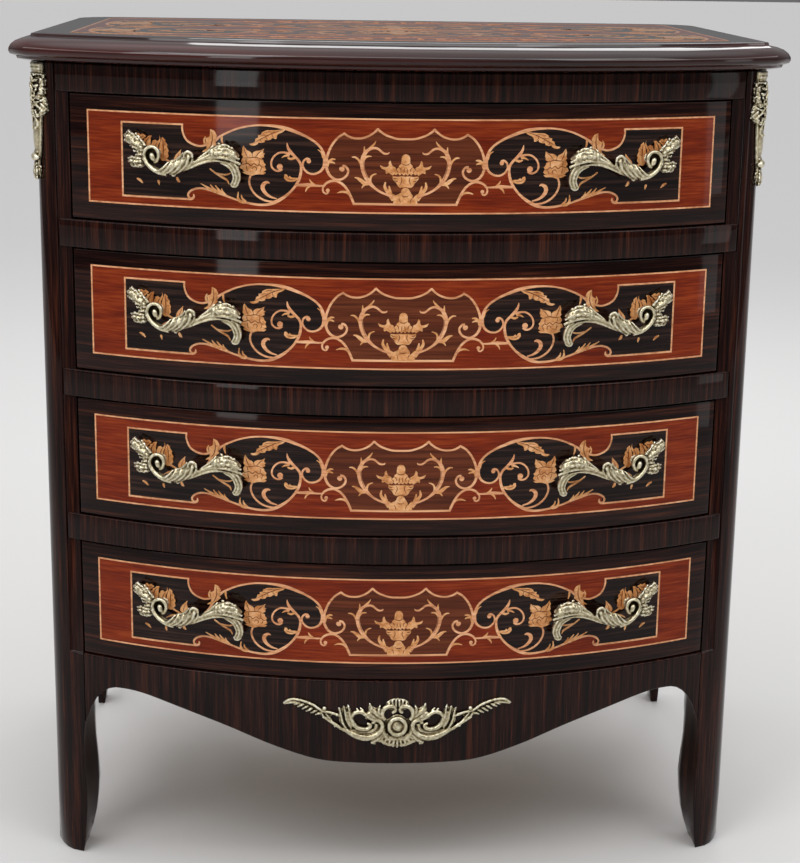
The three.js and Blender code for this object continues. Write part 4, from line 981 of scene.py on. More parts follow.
def add_plate(shape, rim, low, high):
    """Adds a flat plate with this rim, from low to high above the wood."""
    back = [shape.verts.new((x * MM, -low * MM, z * MM)) for x, z in rim]
    front = [shape.verts.new((x * MM, -high * MM, z * MM)) for x, z in rim]
    shape.faces.new(back)
    shape.faces.new(front[::-1])
    for i in range(len(rim)):
        j = (i + 1) % len(rim)
        shape.faces.new((back[j], back[i], front[i], front[j]))


def chisel(wax, ragged):
    """Moves each point along its normal; all places are worked out before any moves."""
    places = []
    for vertex in wax.data.vertices:
        coarse = noise.noise(vertex.co * MARKS_A_METRE)
        mark = coarse + FINE_SHARE * noise.noise(vertex.co * MARKS_A_METRE * FINER)
        depth = mark * ragged(vertex.co.x / MM, vertex.co.z / MM) * MM
        places.append(vertex.co + vertex.normal * depth)
    for vertex, place in zip(wax.data.vertices, places):
        vertex.co = place


def cast(name, strands, beads, plates, ragged, fatten, lift=0, kept=0.6):
    """One casting from strands, beads (x, z, out, and three half sizes) and plates.

    ragged gives the depth of the chisel marks, in millimetres, at x and z; fatten thickens the
    strands, lift raises all but the plates, and kept is the share of faces that stays.
    """
    curve = bpy.data.curves.new(name, "CURVE")
    curve.dimensions = "3D"
    curve.bevel_depth = MM
    curve.bevel_resolution = 2
    curve.use_fill_caps = True
    add_strands(curve, strands, fatten, lift)
    only(add(name, curve))
    bpy.ops.object.convert(target="MESH")
    wax = bpy.context.object
    shape = bmesh.new()
    shape.from_mesh(wax.data)
    for x, z, out, *size in beads:
        add_bead(shape, (x, z, out + lift), size)
    for rim, low, high in plates:
        add_plate(shape, rim, low, high)
    bmesh.ops.recalc_face_normals(shape, faces=shape.faces[:])
    shape.to_mesh(wax.data)
    shape.free()
    modify(wax, "REMESH", mode="VOXEL", voxel_size=VOXEL * MM)
    modify(wax, "SMOOTH", factor=0.5, iterations=2)
    chisel(wax, ragged)
    modify(wax, "DECIMATE", ratio=kept)
    for face in wax.data.polygons:
        face.use_smooth = True
    print(name, "faces:", len(wax.data.polygons))
    return wax


def both(lines):
    """Strands of the right half and their mirror images."""
    return list(lines) + [[(-x, *rest) for x, *rest in line] for line in lines]


# %% [markdown]
# The brass was cast, and old brass is brighter on its polished high places and duller in its
# hollows. Pointiness tells ridges from hollows on the mesh itself, and ambient occlusion finds the
# deep places between the strands; both are added up with a fine mottle, and a ramp turns the sum
# into colour, so the colour follows the relief from every side. The ramp runs from near black to
# near white, so besides the metal's own colour it is painted shade in the hollows and a painted
# highlight on the ridges; the lamps make highlights as well.

# %% Brass with painted shade and highlights
brass, brass_tree, brass_shader = new_material("antique_brass_painted_shade")
make_brass, link_brass = brass_tree.nodes.new, brass_tree.links.new
brass_shader.inputs["Metallic"].default_value = 0.9


def weighted_sum(weight, value, plus):
    """A Math node that gives value * weight + plus."""
    sum_node = make_brass("ShaderNodeMath")
    sum_node.operation = "MULTIPLY_ADD"
    sum_node.inputs[1].default_value = weight
    link_brass(value, sum_node.inputs[0])
    link_brass(plus, sum_node.inputs[2])
    return sum_node.outputs["Value"]


brass_place = make_brass("ShaderNodeTexCoord")
grime = make_brass("ShaderNodeTexNoise")
grime.inputs["Scale"].default_value = 260
grime.inputs["Detail"].default_value = 4
link_brass(brass_place.outputs["Object"], grime.inputs["Vector"])
relief = make_brass("ShaderNodeNewGeometry")
# Ambient occlusion darkens the deep places between the strands: painted shade.
painted_hollow_shade = make_brass("ShaderNodeAmbientOcclusion")
painted_hollow_shade.samples = 8
painted_hollow_shade.only_local = True
painted_hollow_shade.inputs["Distance"].default_value = 0.005
# Pointiness is higher on ridges, so ridges turn lighter: painted highlight, with a fine mottle.
ridge_highlight_and_mottle = weighted_sum(0.12, grime.outputs["Fac"], relief.outputs["Pointiness"])
relief_and_painted_shade = weighted_sum(0.3, painted_hollow_shade.outputs["AO"], ridge_highlight_and_mottle)
# The ramp paints the hollows near black and the ridges near white: painted shade and painted
# highlight.
brass_ramp = colour_ramp(brass_tree, ((0.74, (0.03, 0.02, 0.008)), (0.82, (0.24, 0.185, 0.095)),
                                      (0.88, (0.62, 0.56, 0.38)), (0.94, (1.0, 0.98, 0.87))))
link_brass(relief_and_painted_shade, brass_ramp.inputs["Fac"])
link_brass(brass_ramp.outputs["Color"], brass_shader.inputs["Base Color"])
dull = make_brass("ShaderNodeMapRange")
dull.inputs["To Min"].default_value = 0.22
dull.inputs["To Max"].default_value = 0.5
link_brass(grime.outputs["Fac"], dull.inputs["Value"])
link_brass(dull.outputs["Result"], brass_shader.inputs["Roughness"])
print("brass nodes:", len(brass_tree.nodes))

# %% [markdown]
# A handle is one asymmetric rococo scroll. From its outer end: two ragged leaves, a ring with
# an eye, a broad leaf twisted round the bar, a slim waist, and an acanthus cluster whose tail
# hangs down. Two round posts hold it off the drawer, so that fingers fit behind the bar. Each
# row is one strand: x, z, the distance from the drawer, and the radius, in millimetres.

# %% Handles
RING = [
    [(-14, -16, 19.5, 2.2), (-22, -15, 18.5, 2.1), (-30, -12.5, 17, 2.0), (-37.5, -7, 15.5, 1.9),
     (-42, 0, 14.5, 1.8), (-41.5, 6.5, 14, 1.7), (-37, 11, 13.8, 1.6), (-31, 11.6, 13.8, 1.6),
     (-26.4, 7.5, 13.8, 1.6), (-25.6, 2, 13.6, 1.6), (-28, -3.5, 13.2, 1.5),
     (-31.5, -5.5, 13, 1.3)],
    [(-22, -14.5, 15.5, 2.2), (-30, -12, 13.5, 2.1), (-37, -6.5, 11.5, 2.0), (-41, 0, 10.5, 1.8),
     (-40.5, 6.5, 10.3, 1.7), (-36.5, 10.3, 10.3, 1.6), (-31, 10.8, 10.3, 1.6),
     (-27, 7.3, 10.3, 1.6), (-26.4, 2, 10.3, 1.6), (-28.5, -3, 10.3, 1.5)],
    [(-29.5, -4, 12, 1.4), (-32, -1, 12.8, 2.6), (-33.5, 2.5, 12.6, 2.7), (-34, 5.5, 11.6, 1.4)],
]
TWISTED_LEAF = [
    [(-24, -14.6, 16.5, 2.4), (-14, -11.6, 17, 3.8), (-4, -7.6, 17.5, 4.7), (5, -3, 18, 4.5),
     (11, 3, 18.5, 3.8)],
    [(-30, -14, 17.5, 0.9), (-22, -12.5, 19.8, 1.2), (-16, -8, 19.8, 1.1), (-12.5, -3.6, 18, 0.8)],
    [(-24, -16, 18.6, 1.0), (-16, -13, 20.8, 1.4), (-10.5, -8, 21.2, 1.4), (-8.3, -3, 19.6, 1.1)],
    [(-18, -16.4, 18.6, 1.0), (-9.5, -12.6, 21.2, 1.5), (-3.5, -6.6, 22, 1.5),
     (-1.2, -0.8, 20.2, 1.2)],
    [(-11.5, -16.4, 18, 1.0), (-3, -11.8, 21.4, 1.5), (3.4, -5.2, 22.4, 1.5), (6, 2.6, 21, 1.4)],
    [(-6, -16.2, 17, 1.1), (4, -10.4, 20.8, 1.5), (10, -3.8, 22.2, 1.5), (12.4, 4, 22, 1.8)],
    [(-1, -13.6, 17, 1.1), (9, -8.2, 20, 1.4), (14.8, -3, 20.8, 1.3), (16.2, 2.6, 20.4, 1.2)],
    [(-13, -5.4, 17, 1.3), (-8.5, -2.6, 18, 1.5), (-3.5, -1.2, 18.5, 1.4), (1.6, 2.6, 19, 1.4),
     (6, 7, 19.5, 1.4)],
    [(7.6, 2.4, 22.6, 1.1), (7.8, 6.6, 22.8, 1.2), (11.6, 9.2, 22.4, 1.3), (15.8, 7, 22, 1.2),
     (16.4, 3, 21.6, 1.0)],
]
WAIST = [
    [(6, -8.5, 18, 3.0), (16, -4.4, 18, 2.6), (26, 0, 17, 2.7), (35, 3.6, 16, 3.4),
     (44, 6, 14.5, 4.2)],
    [(2, -12.5, 18.6, 1.0), (12, -8.6, 20, 1.2), (23, -4, 19.6, 1.2), (34, -0.4, 18.6, 1.3),
     (45, 0.4, 17, 1.2), (53, -1.6, 15, 1.1)],
    [(14, -4, 20.4, 1.0), (25, 1.2, 19.6, 1.2), (35, 6, 18.6, 1.3), (45, 7.6, 17, 1.2)],
    [(17, -1.8, 19, 0.9), (26, 4.4, 18.4, 1.1), (33, 10, 17, 1.3), (38.4, 16, 14.6, 0.8)],
]
CLUSTER = [
    [(34, 6, 14.5, 4.4), (44, 9.4, 14, 6.0), (54, 8, 12.6, 6.2), (62, 1.5, 10.6, 4.6)],
    [(32, 9.4, 16, 1.3), (41, 13.4, 17.4, 1.5), (48.5, 16.8, 16.6, 1.6), (54.5, 15.6, 14.4, 1.4),
     (58, 11.6, 12.4, 1)],
    [(36, 9, 18, 1.3), (46, 12.6, 19, 1.6), (55, 12.6, 17.2, 1.7), (62.6, 8.6, 13.4, 1.3)],
    [(37, 6.4, 18.4, 1.2), (49, 8.6, 19.4, 1.6), (59, 7, 17, 1.6), (66.5, 2.4, 12.6, 1.2)],
    [(39, 3.6, 18, 1.2), (50, 4.2, 19, 1.5), (59.5, 1.8, 16.8, 1.5), (67.4, -3.2, 12, 1.2)],
    [(57, -0.6, 15.6, 1.3), (62, -3.6, 14, 1.3), (66, -6.8, 11.6, 0.9)],
    [(43, 13.6, 15.4, 1.3), (44.8, 16.8, 13.8, 1.3), (42, 18.4, 12.4, 0.8)],
]
TAIL = [
    [(46, 0, 12.6, 3.0), (56, -3.4, 12.4, 3.3), (62.4, -10.5, 12, 3.2), (64, -17.6, 11.2, 3.0),
     (61.4, -24, 10.2, 2.9)],
    [(47, -1.8, 15, 1.1), (55.6, -6, 15, 1.2), (60, -12.6, 14.6, 1.2), (60.6, -18.6, 14, 1.1),
     (57.4, -24.6, 12.4, 0.9)],
    [(50, 0.8, 15.6, 1.1), (58.4, -4, 15.6, 1.2), (63, -11.4, 15, 1.2), (63.8, -18.6, 14.2, 1.1),
     (60.2, -25.6, 12.6, 0.9)],
    [(54, 1.2, 14.6, 1.1), (62, -3.4, 14.6, 1.2), (66.2, -11, 14, 1.2), (66.8, -18.8, 13, 1.1),
     (63.4, -26, 11.6, 0.9)],
    [(56.6, -24, 12, 1.1), (58.4, -26.6, 12.4, 1.2), (62, -26.8, 12, 1.2),
     (64.4, -24.6, 11.4, 1.0)],
]
OUTER_LEAVES = [
    [(-43, 9, 9.6, 2.8), (-51, 14.4, 8.8, 4.4), (-59.4, 19.6, 7, 4.6), (-66, 24, 4.8, 2.6)],
    [(-41, 12, 12, 1.1), (-47, 18.6, 11.4, 1.3), (-52, 22.6, 9.6, 1.2), (-54, 25.4, 8, 0.8)],
    [(-49, 17.4, 12, 1.1), (-55.6, 23, 10.8, 1.3), (-61, 26.8, 8.4, 1.2), (-63, 29, 6.6, 0.7)],
    [(-43, 9, 12.6, 1.1), (-52, 14, 13, 1.4), (-61, 19.4, 11, 1.3), (-68, 22.6, 6.8, 1.0)],
    [(-45, 6.6, 12, 1.0), (-52, 9.6, 12, 1.3), (-58.6, 12, 9.6, 1.2), (-62, 11.6, 7, 0.7)],
    [(-53, 12.6, 12, 1.0), (-60.4, 15.6, 10.6, 1.3), (-66, 17, 7.4, 1.1), (-68.6, 16, 5.6, 0.7)],
    [(-56, 21.4, 10.8, 0.9), (-58, 18, 12.2, 1.1), (-57, 13, 11.2, 0.9)],
    [(-42, 4, 10.6, 2.6), (-48, 4.6, 10, 2.8), (-51.6, 0.6, 9, 2.4)],
    [(-43.6, 6.4, 12.6, 1.1), (-48, 8, 12.8, 1.2), (-52.4, 5.6, 11.4, 0.9)],
    [(-43.4, 1.6, 12.8, 1.1), (-48.4, 2.8, 13, 1.2), (-53, 1.4, 11, 0.9)],
    [(-42, -2, 9.4, 2.6), (-48, -6, 8.8, 4.2), (-55, -6.2, 7.8, 4.2), (-60.6, -4.4, 6.2, 2.6)],
    [(-43.6, -0.6, 12.6, 1.1), (-50.6, -1, 12.8, 1.3), (-57.6, -0.8, 11.2, 1.3),
     (-63, -2.6, 7.8, 1.0)],
    [(-43.6, -4, 13, 1.1), (-50.6, -4.8, 13.6, 1.4), (-57.6, -4.6, 11.8, 1.3),
     (-63.4, -5.8, 7.8, 0.9)],
    [(-43.6, -7.6, 12, 1.1), (-49.6, -9.4, 12.2, 1.3), (-55.6, -10.2, 10.8, 1.2),
     (-60.6, -8.8, 7.8, 0.9)],
]
HANDLE_POSTS = [[(x, z, -1.5, 4.6), (x, z, 1, 4.4), (x, z, 2.2, 3.2), (x, z, end, 3.2)]
                for x, z, end in ((-33.4, 3.9, 11), (51.4, 4.5, 13))]
HANDLE_BEADS = [(11.8, 4.6, 19.6, 4.3, 3.6, 4.3), (-34, 3, 8.6, 7.6, 1.6, 8),
                (-7, -17.4, 18, 2.2, 2, 1.8), (-48, 11.4, 13.2, 1.6, 1.3, 1.5),
                (-55, 6.6, 10.6, 1.6, 1.3, 1.4), (-49.6, 5.4, 13, 1.4, 1.2, 1.4),
                (-46.8, -1.2, 13, 1.4, 1.2, 1.4), (50, 17, 14.6, 2.4, 2, 1.7),
                (57.6, 14, 13, 2, 2, 1.6), (-60.4, 21, 9.8, 1.4, 1.2, 1.4),
                (60.6, -25.4, 10.6, 3.4, 2.8, 2.6)]
LEAVES_END, CLUSTER_START, TAIL_TOP = -42, 36, 4


def handle_marks(x, z):
    """Deep chisel marks on the outer leaves and on the cluster, faint ones elsewhere."""
    if x < LEAVES_END:
        return 1.15
    return 0.7 if x > CLUSTER_START and z > TAIL_TOP else 0.2


handle = cast("handle", RING + TWISTED_LEAF + WAIST + CLUSTER + TAIL + OUTER_LEAVES + HANDLE_POSTS,
              HANDLE_BEADS, (), handle_marks, fatten=1.28)

# %% [markdown]
# The handle was cast flat, round its own middle. Each copy is pushed out to the drawer front,
# raised a little above its middle, and turned round the bow's axis to its place on the left;
# the right one is the mirror image.

# %% Handles on the drawers
HANDLE_OFFSET = 0.238
HANDLE_RAISE = 0.005
handle_turn = math.asin(HANDLE_OFFSET / DRAWER_RADIUS)
to_bow = Matrix.Translation((0, BOW_CENTRE, 0)) @ Matrix.Rotation(-handle_turn, 4, "Z")
for number in DRAWERS:
    low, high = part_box(f"drawer_{number}_front")
    middle = (low[2] + high[2]) / 2 + HANDLE_RAISE
    for side in ("left", "right"):
        copy = own_copy(handle, f"handle_{number}_{side}")
        copy.data.transform(to_bow @ Matrix.Translation((0, -DRAWER_RADIUS - GAP, middle)))
        if side == "right":
            turn_over(copy)
        dress(copy, f"drawer_{number}", "brass", brass, f"drawer_{number}_handle_{side}")
bpy.data.objects.remove(handle)
print("handles:", 2 * len(DRAWERS))

# %% [markdown]
# The mount on the apron is pierced: a fluted fan and two scrolls round small holes above an oval
# boss, a shell below it, and at each side a long scroll, a fluted leaf and a feathered horn.
# It is drawn flat as its right half, mirrored, cast, and then bent to the bow like the veneers.

# %% Apron mount
HALF_MOUNT = [
    [(1.6, 49.5, 2.6, 0.7), (1.9, 55, 4.2, 0.9), (1.8, 60.6, 2.6, 0.9)],
    [(3.4, 49.5, 2.6, 0.7), (5.4, 54.5, 4, 0.9), (6.2, 59.4, 2.6, 0.9)],
    [(5.5, 49, 2.4, 0.7), (8.6, 52.6, 3.6, 0.9), (10, 56.6, 2.4, 0.8)],
    [(7, 48.5, 2.2, 0.7), (10.8, 50.6, 3.2, 0.9), (12, 53.2, 2.2, 0.7)],
    [(4.8, 45.6, 3.4, 1.5), (2.4, 48.6, 3.6, 1.5), (4.6, 52, 3.8, 1.6), (9.5, 52.8, 4, 1.7),
     (14.5, 50.6, 4, 1.8), (17.4, 46, 3.8, 1.8), (17.3, 40, 3.4, 1.7), (14.5, 35.5, 3, 1.6)],
    [(0, 16.5, 3.4, 0.7), (0, 8, 4.6, 1.0), (0, 1.5, 2.6, 1.0)],
    [(2.6, 16, 3.4, 0.7), (4.2, 8.6, 4.5, 1.0), (5, 2.4, 2.6, 0.9)],
    [(5.5, 15.5, 3.4, 0.7), (8.8, 9.4, 4.4, 1.0), (10.2, 3.6, 2.6, 0.9)],
    [(8.5, 17, 3.2, 0.7), (13.2, 11.4, 4.2, 1.0), (15.4, 5.6, 2.4, 0.9)],
    [(10.5, 19, 3.2, 0.7), (17, 14, 4, 1.0), (20.4, 8.6, 2.4, 0.9)],
    [(16, 19, 3, 1.4), (22.5, 13, 3.6, 1.9), (28.5, 8.4, 2.8, 2.0), (25, 6.4, 2.4, 1.2)],
    [(2, 5, 1.6, 1.8), (10, 6.4, 1.6, 2.4), (20, 11, 1.6, 2.4), (28, 10.4, 1.6, 1.6)],
    [(1, 13, 1.8, 2.6), (10, 13, 1.8, 2.8), (16, 20, 1.8, 2.6), (16.4, 30, 1.8, 2.4)],
    [(62, 24, 2.6, 1.6), (55, 19.5, 3.2, 2.1), (47, 16, 3.8, 2.6), (38, 14, 4.2, 2.7),
     (30, 15, 4.4, 2.5), (23.5, 18.5, 4.4, 2.2), (18.8, 24, 4.2, 2.0), (17.5, 29.5, 4, 1.9),
     (20, 34, 3.8, 1.8), (25, 35.5, 3.6, 1.7), (27.6, 33, 3.4, 1.5)],
    [(53.5, 38, 3, 1.5), (51.5, 32, 3.4, 1.8), (47, 26.5, 3.8, 1.9), (40, 24, 4, 1.8),
     (34, 25, 4, 1.7), (31, 28.5, 3.8, 1.6), (33.5, 31, 3.6, 1.4)],
    [(60, 21, 1.6, 1.7), (48, 21, 1.6, 2.0), (36, 20, 1.8, 2.2), (26, 23, 1.8, 2.4),
     (24, 31, 1.8, 2.2)],
    [(54, 38, 3, 1.4), (49.5, 43.5, 3.2, 1.6), (43, 45, 3.4, 1.6), (37, 42, 3.4, 1.7),
     (31, 38, 3.4, 1.8), (25.5, 35.5, 3.4, 1.7)],
    [(41, 44, 3, 1.4), (40.5, 47, 2.6, 1.1), (43.5, 50, 2, 0.5)],
    [(44, 44.5, 3, 1.3), (47.4, 49.4, 2.2, 0.6)],
    [(17.5, 38, 3, 1.4), (23, 42, 3.6, 1.5), (28.5, 47, 3, 1.3), (32.3, 55.6, 2, 0.5)],
    [(19, 41, 3, 1.3), (21.5, 46, 3.4, 1.4), (20.4, 52.6, 2.2, 0.7)],
    [(22, 36.5, 3, 1.4), (28.5, 40, 3.4, 1.5), (33, 43.5, 2.8, 1.4), (36.4, 41, 2.4, 0.9)],
    [(20, 38, 1.8, 2.2), (25, 44, 1.8, 2.2), (30.5, 50, 1.6, 1.2)],
    [(24, 37, 1.8, 1.8), (29.5, 43, 2, 1.8), (31.6, 49, 2, 1.0)],
    [(49, 27, 3, 0.9), (53.4, 36, 3.8, 1.1), (55.4, 44, 3.4, 1.0), (56.6, 52, 2.2, 0.7)],
    [(53, 24.6, 3, 0.9), (58, 34, 3.9, 1.1), (60, 43, 3.4, 1.0), (61.8, 51, 2.2, 0.7)],
    [(58, 23, 3, 0.9), (62.6, 31, 3.8, 1.1), (65, 40, 3.2, 1.0), (67.2, 49.4, 2, 0.7)],
    [(52, 27, 1.6, 2.2), (57, 36, 1.6, 2.4), (57.4, 45, 1.6, 1.6)],
    [(60, 21.6, 2.6, 1.4), (66.3, 25.2, 3, 1.4), (73.5, 30.3, 3.2, 1.4), (80, 34.4, 3.2, 1.3),
     (86, 38.2, 2.8, 1.2)],
    [(64.5, 38.4, 2.4, 0.9), (70, 41, 3, 1.1), (79, 43.8, 3.4, 1.0), (85.8, 45, 3.6, 1.0),
     (90.2, 47.4, 3.8, 1.0), (95.9, 51.6, 4, 1.0), (102.5, 54.6, 4, 1.0), (109, 56.7, 4, 1.0),
     (115.5, 57.9, 3.8, 1.0), (122, 57.9, 3.6, 1.0), (127.6, 55.4, 3, 1.0),
     (131.4, 51.8, 2.2, 0.8)],
    [(112, 53.4, 2.6, 1.0), (118, 54.2, 3.2, 1.1), (125, 53.2, 2.8, 1.0), (130.6, 51.2, 2.2, 0.7)],
    [(76, 33.5, 2.6, 0.9), (80, 38.5, 3, 1.0), (83, 42.6, 2.8, 0.8)],
    [(82, 35.5, 2.6, 0.9), (86, 40, 3, 1.0), (88, 44, 2.8, 0.8)],
]
HORN_LOBES = ((87.3, 42.6, 94.9, 40.2), (92.3, 45.5, 100.3, 41.8), (97.4, 48.4, 105.4, 43.4),
              (102.5, 50.5, 110, 46), (107.5, 52.7, 115.6, 48.4), (112.6, 54.1, 119.4, 51))
HALF_MOUNT += [[(x, z, 2.8, 0.8), ((x + tip) / 2, (z + low) / 2 + 0.7, 3.6, 1.1),
                (tip, low, 2.2, 0.7)] for x, z, tip, low in HORN_LOBES]
BOSS_HEIGHT = 27.9
ring_turns = [math.tau * i / 16 for i in range(17)]
boss_ring = [(9.4 * math.sin(a), BOSS_HEIGHT + 10 * math.cos(a), 4.4, 1.8) for a in ring_turns]
MOUNT_BEADS = [(0, BOSS_HEIGHT, 3.8, 6.6, 3.2, 7), (0, 28.5, 2, 12, 1.5, 14),
               (0, 52.6, 1.8, 11, 1.5, 5)]
ROUND_BEADS = ((84.4, 48.4, 3.2, 2.5), (70, 41, 3.2, 2), (77, 32.6, 3.4, 1.7),
               (28, 32.8, 3.8, 2.1), (5.2, 45.4, 3.8, 1.9), (33.8, 31, 3.8, 1.8),
               (72, 27, 3.2, 1.6), (66, 24, 3.2, 1.6))
MOUNT_BEADS += [(side * x, z, out, r, r, r) for side in (-1, 1) for x, z, out, r in ROUND_BEADS]
HALF_PLATES = (
    [(15, 36), (24, 33), (37, 36), (38, 40), (34, 45), (33, 56), (28, 51), (24, 49), (20, 54),
     (18, 46), (17, 40)],
    [(20, 14), (30, 12.5), (40, 11.5), (50, 14.5), (60, 21), (64, 26), (58, 27), (50, 24), (40, 21),
     (32, 22), (26, 26), (24, 34), (18, 30)],
    [(48, 26), (56, 22), (64, 24), (67, 32), (68, 42), (69, 50), (64.6, 47.6), (62.6, 52),
     (59.4, 49), (57, 53.4), (53.6, 47), (50.6, 38)],
    [(76, 32), (84, 36.4), (92, 41), (100, 43.6), (108, 47.4), (116, 50.6), (124, 52),
     (131.6, 50.6), (128, 56), (121, 58.6), (112, 57.8), (102, 55.2), (94, 50.4), (88, 46.2),
     (80, 44.2), (74.5, 42), (77.6, 37)],
    [(30, 40), (38, 44), (46, 46.5), (54, 40), (51, 38), (45, 42.5), (38, 39.5), (30, 35.5)],
)
HALF_BODY = [(0, 1.5), (6, 3), (12, 5.5), (20, 8), (28, 7), (30, 12), (24, 16), (18, 24),
             (16.5, 33), (13, 36), (0, 38)]
HALF_CREST = [(0, 47), (6, 47), (11, 49), (14, 52), (12.5, 57), (7.5, 60.5), (0, 61.8)]
mount_rims = list(HALF_PLATES) + [mirrored(rim) for rim in HALF_PLATES]
mount_rims += [half + mirrored(half[1:-1]) for half in (HALF_BODY, HALF_CREST)]
PLATE_BACK, PLATE_FACE, CORNER_PLATE_FACE = 0.2, 2, 3.6


def mount_marks(x, z):
    """The same faint chisel marks all over."""
    return 0.3


mount = cast("apron_scroll_mount", both(HALF_MOUNT) + [boss_ring], MOUNT_BEADS,
             [(rim, PLATE_BACK, PLATE_FACE) for rim in mount_rims], mount_marks, fatten=1.5)
mount_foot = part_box("apron_mount")[0][2]
for vertex in mount.data.vertices:
    x, out, z = vertex.co
    vertex.co = (x, bow_y(x, BOW_RADIUS + GAP + max(-out, 0)), z + mount_foot)
dress(mount, "carcase", "brass", brass, "apron_mount")

# %% [markdown]
# A corner mount hangs from the top like a capital: a moulded cap, a row of beads, a cluster of
# leaves and scrolls, a plain tapering drop, a ball and a bud. It is drawn flat too, and each
# point is then laid on the rounded corner of the post, which is found with a ray.

# %% Corner mounts
HALF_CORNER = [
    [(0, -2.2, 2.4, 2.2), (12, -2.2, 2.4, 2.2)],
    [(0, -6, 3.0, 1.7), (12.2, -6, 3.0, 1.7)],
    [(0, -9.2, 2.0, 1.5), (11.4, -9.2, 2.0, 1.5)],
    [(12.2, -17, 3, 1.1), (13.2, -24, 3.6, 1.4), (12.6, -32, 4, 1.7), (9, -38, 4.2, 1.8),
     (4.6, -37.6, 4.2, 1.5), (3.6, -32.6, 4, 1.3), (6.4, -30, 3.8, 1.2)],
    [(0.5, -16, 4.2, 1.3), (4, -19.6, 4.4, 1.4), (9, -18, 3.6, 0.9)],
    [(0.5, -22, 4.4, 1.3), (4.4, -26, 4.6, 1.4), (9.4, -24.6, 3.6, 0.9)],
    [(0, -14.6, 4, 1.4), (0, -26, 4.8, 1.9), (0, -38, 5, 2.1), (0, -48, 4.6, 1.8),
     (0, -57, 4, 1.3)],
    [(0.6, -40, 4.4, 1.3), (5.4, -43.4, 4.2, 1.5), (10, -42.6, 3.4, 1.2), (14, -39, 2.4, 0.6)],
    [(2, -46, 3.8, 1.3), (8, -46.4, 3.6, 1.5), (12, -50.6, 3.4, 1.6), (10.6, -56.4, 3.4, 1.6),
     (6, -57.6, 3.4, 1.3), (5, -53.4, 3.4, 1.1)],
    [(11, -44.4, 2.8, 1.2), (14.6, -48.6, 2.6, 1.2), (14, -54.6, 2.4, 0.9)],
    [(1.6, -58, 3.4, 1.1), (5, -62, 3.2, 1.4), (6.4, -68, 2.8, 1.3), (3.6, -72.6, 2.8, 1.1)],
    [(0, -113, 3, 1.2), (0, -121, 4.4, 1.6), (0, -129.6, 2.8, 0.8)],
    [(2.4, -113, 3, 1.1), (4.4, -119.6, 3.8, 1.5), (3, -126.4, 3.2, 1.1), (1, -130, 2.4, 0.6)],
    [(0, -111.4, 3.0, 1.4), (4.2, -111.4, 2.6, 1.3)],
    [(0, -98.6, 2.6, 1.4), (5.4, -98.6, 2.2, 1.2)],
]
CORNER_HALF_RIM = [(12.4, 0), (12.4, -9), (14, -13), (14.4, -26), (13.4, -36), (15.4, -42),
                   (15.8, -52), (11, -58), (9.4, -62), (8.8, -76), (7.4, -97), (5, -110),
                   (6.4, -118), (3.6, -127), (0, -130)]
CAP_FOOT, LEAVES_FOOT, BUD_TOP = -12, -60, -112
CORNER_BEADS = [(u, -12.6, 3.6, 1.3, 1.3, 1.2) for u in range(-13, 14, 2)]
CORNER_BEADS += [(0, -104.4, 3.6, 7.4, 4.4, 4.6), (0, -80, 1.2, 7, 3, 19)]
CORNER_BEADS += [(side * u, z, 4, 1.7, 1.5, 1.7) for side in (-1, 1)
                 for u, z in ((6.4, -30), (5.4, -53.6), (3.6, -72))]


def corner_marks(x, z):
    """Chisel marks on the leaves under the cap and on the bud."""
    return 1.5 if LEAVES_FOOT < z < CAP_FOOT or z < BUD_TOP else 0.2


corner_rim = [(-12.4, 0)] + CORNER_HALF_RIM + mirrored(CORNER_HALF_RIM[1:-1])
corner = cast("corner_mount", both(HALF_CORNER), CORNER_BEADS,
              [(corner_rim, PLATE_BACK, CORNER_PLATE_FACE)], corner_marks,
              fatten=1.15, lift=1.6, kept=0.7)

# %% [markdown]
# The ray starts 100 mm outside the corner and runs inwards. Its height stays at one level, where
# the post is straight, and the casting's own height is put back afterwards.

# %% Corner mounts on the posts
FACING = Vector((0.762, -0.647, 0)).normalized()
ACROSS = Vector((0.647, 0.762, 0)).normalized()
CORNER_SPREAD = 1.4
CORNER_SHIFT = 0.003
RAY_REACH = 0.1
RAY_LEVEL = 0.93
post = bpy.data.objects["front_right_post_shape"]
bpy.context.view_layer.update()
low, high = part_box("corner_mount_right")
corner_middle = Vector(((low[0] + high[0]) / 2, (low[1] + high[1]) / 2, 0))
corner_hits = 0
for vertex in corner.data.vertices:
    across, out, z = vertex.co
    start = corner_middle + ACROSS * (across * CORNER_SPREAD + CORNER_SHIFT) + FACING * RAY_REACH
    start.z = RAY_LEVEL
    hit, spot, _, _ = post.ray_cast(start, -FACING)
    corner_hits += hit
    if not hit:
        spot = start - FACING * RAY_REACH
    vertex.co = Vector((spot.x, spot.y, high[2] + z)) + FACING * (GAP + max(-out, 0))
print("corner mount points on the post:", corner_hits, "of", len(corner.data.vertices))
corner_left = own_copy(corner, "corner_mount_left_cast")
turn_over(corner_left)
corner.name = "corner_mount_right_cast"
dress(corner, "carcase", "brass", brass, "corner_mount_right")
dress(corner_left, "carcase", "brass", brass, "corner_mount_left")

# %% [markdown]
# Inside, the chest is plain sawn timber without lacquer: drawer boxes, runners, back and dust
# board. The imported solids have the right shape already, so they only get this pale wood. Boards
# that lie across the chest have their grain across it, and the others have it front to back.

# %% Plain timber inside
TIMBER = ((0.26, 0.15, 0.07), (0.33, 0.2, 0.1), (0.4, 0.26, 0.14))
deep_timber = veneer("plain_timber", TIMBER, "Y", 210, 0.4, 0.02)
wide_timber = veneer("plain_timber_level", TIMBER, "X", 210, 0.4, 0.02)
for timber in (deep_timber, wide_timber):
    shader = timber.node_tree.nodes["Principled BSDF"]
    shader.inputs["Coat Weight"].default_value = 0
    shader.inputs["Roughness"].default_value = 0.7

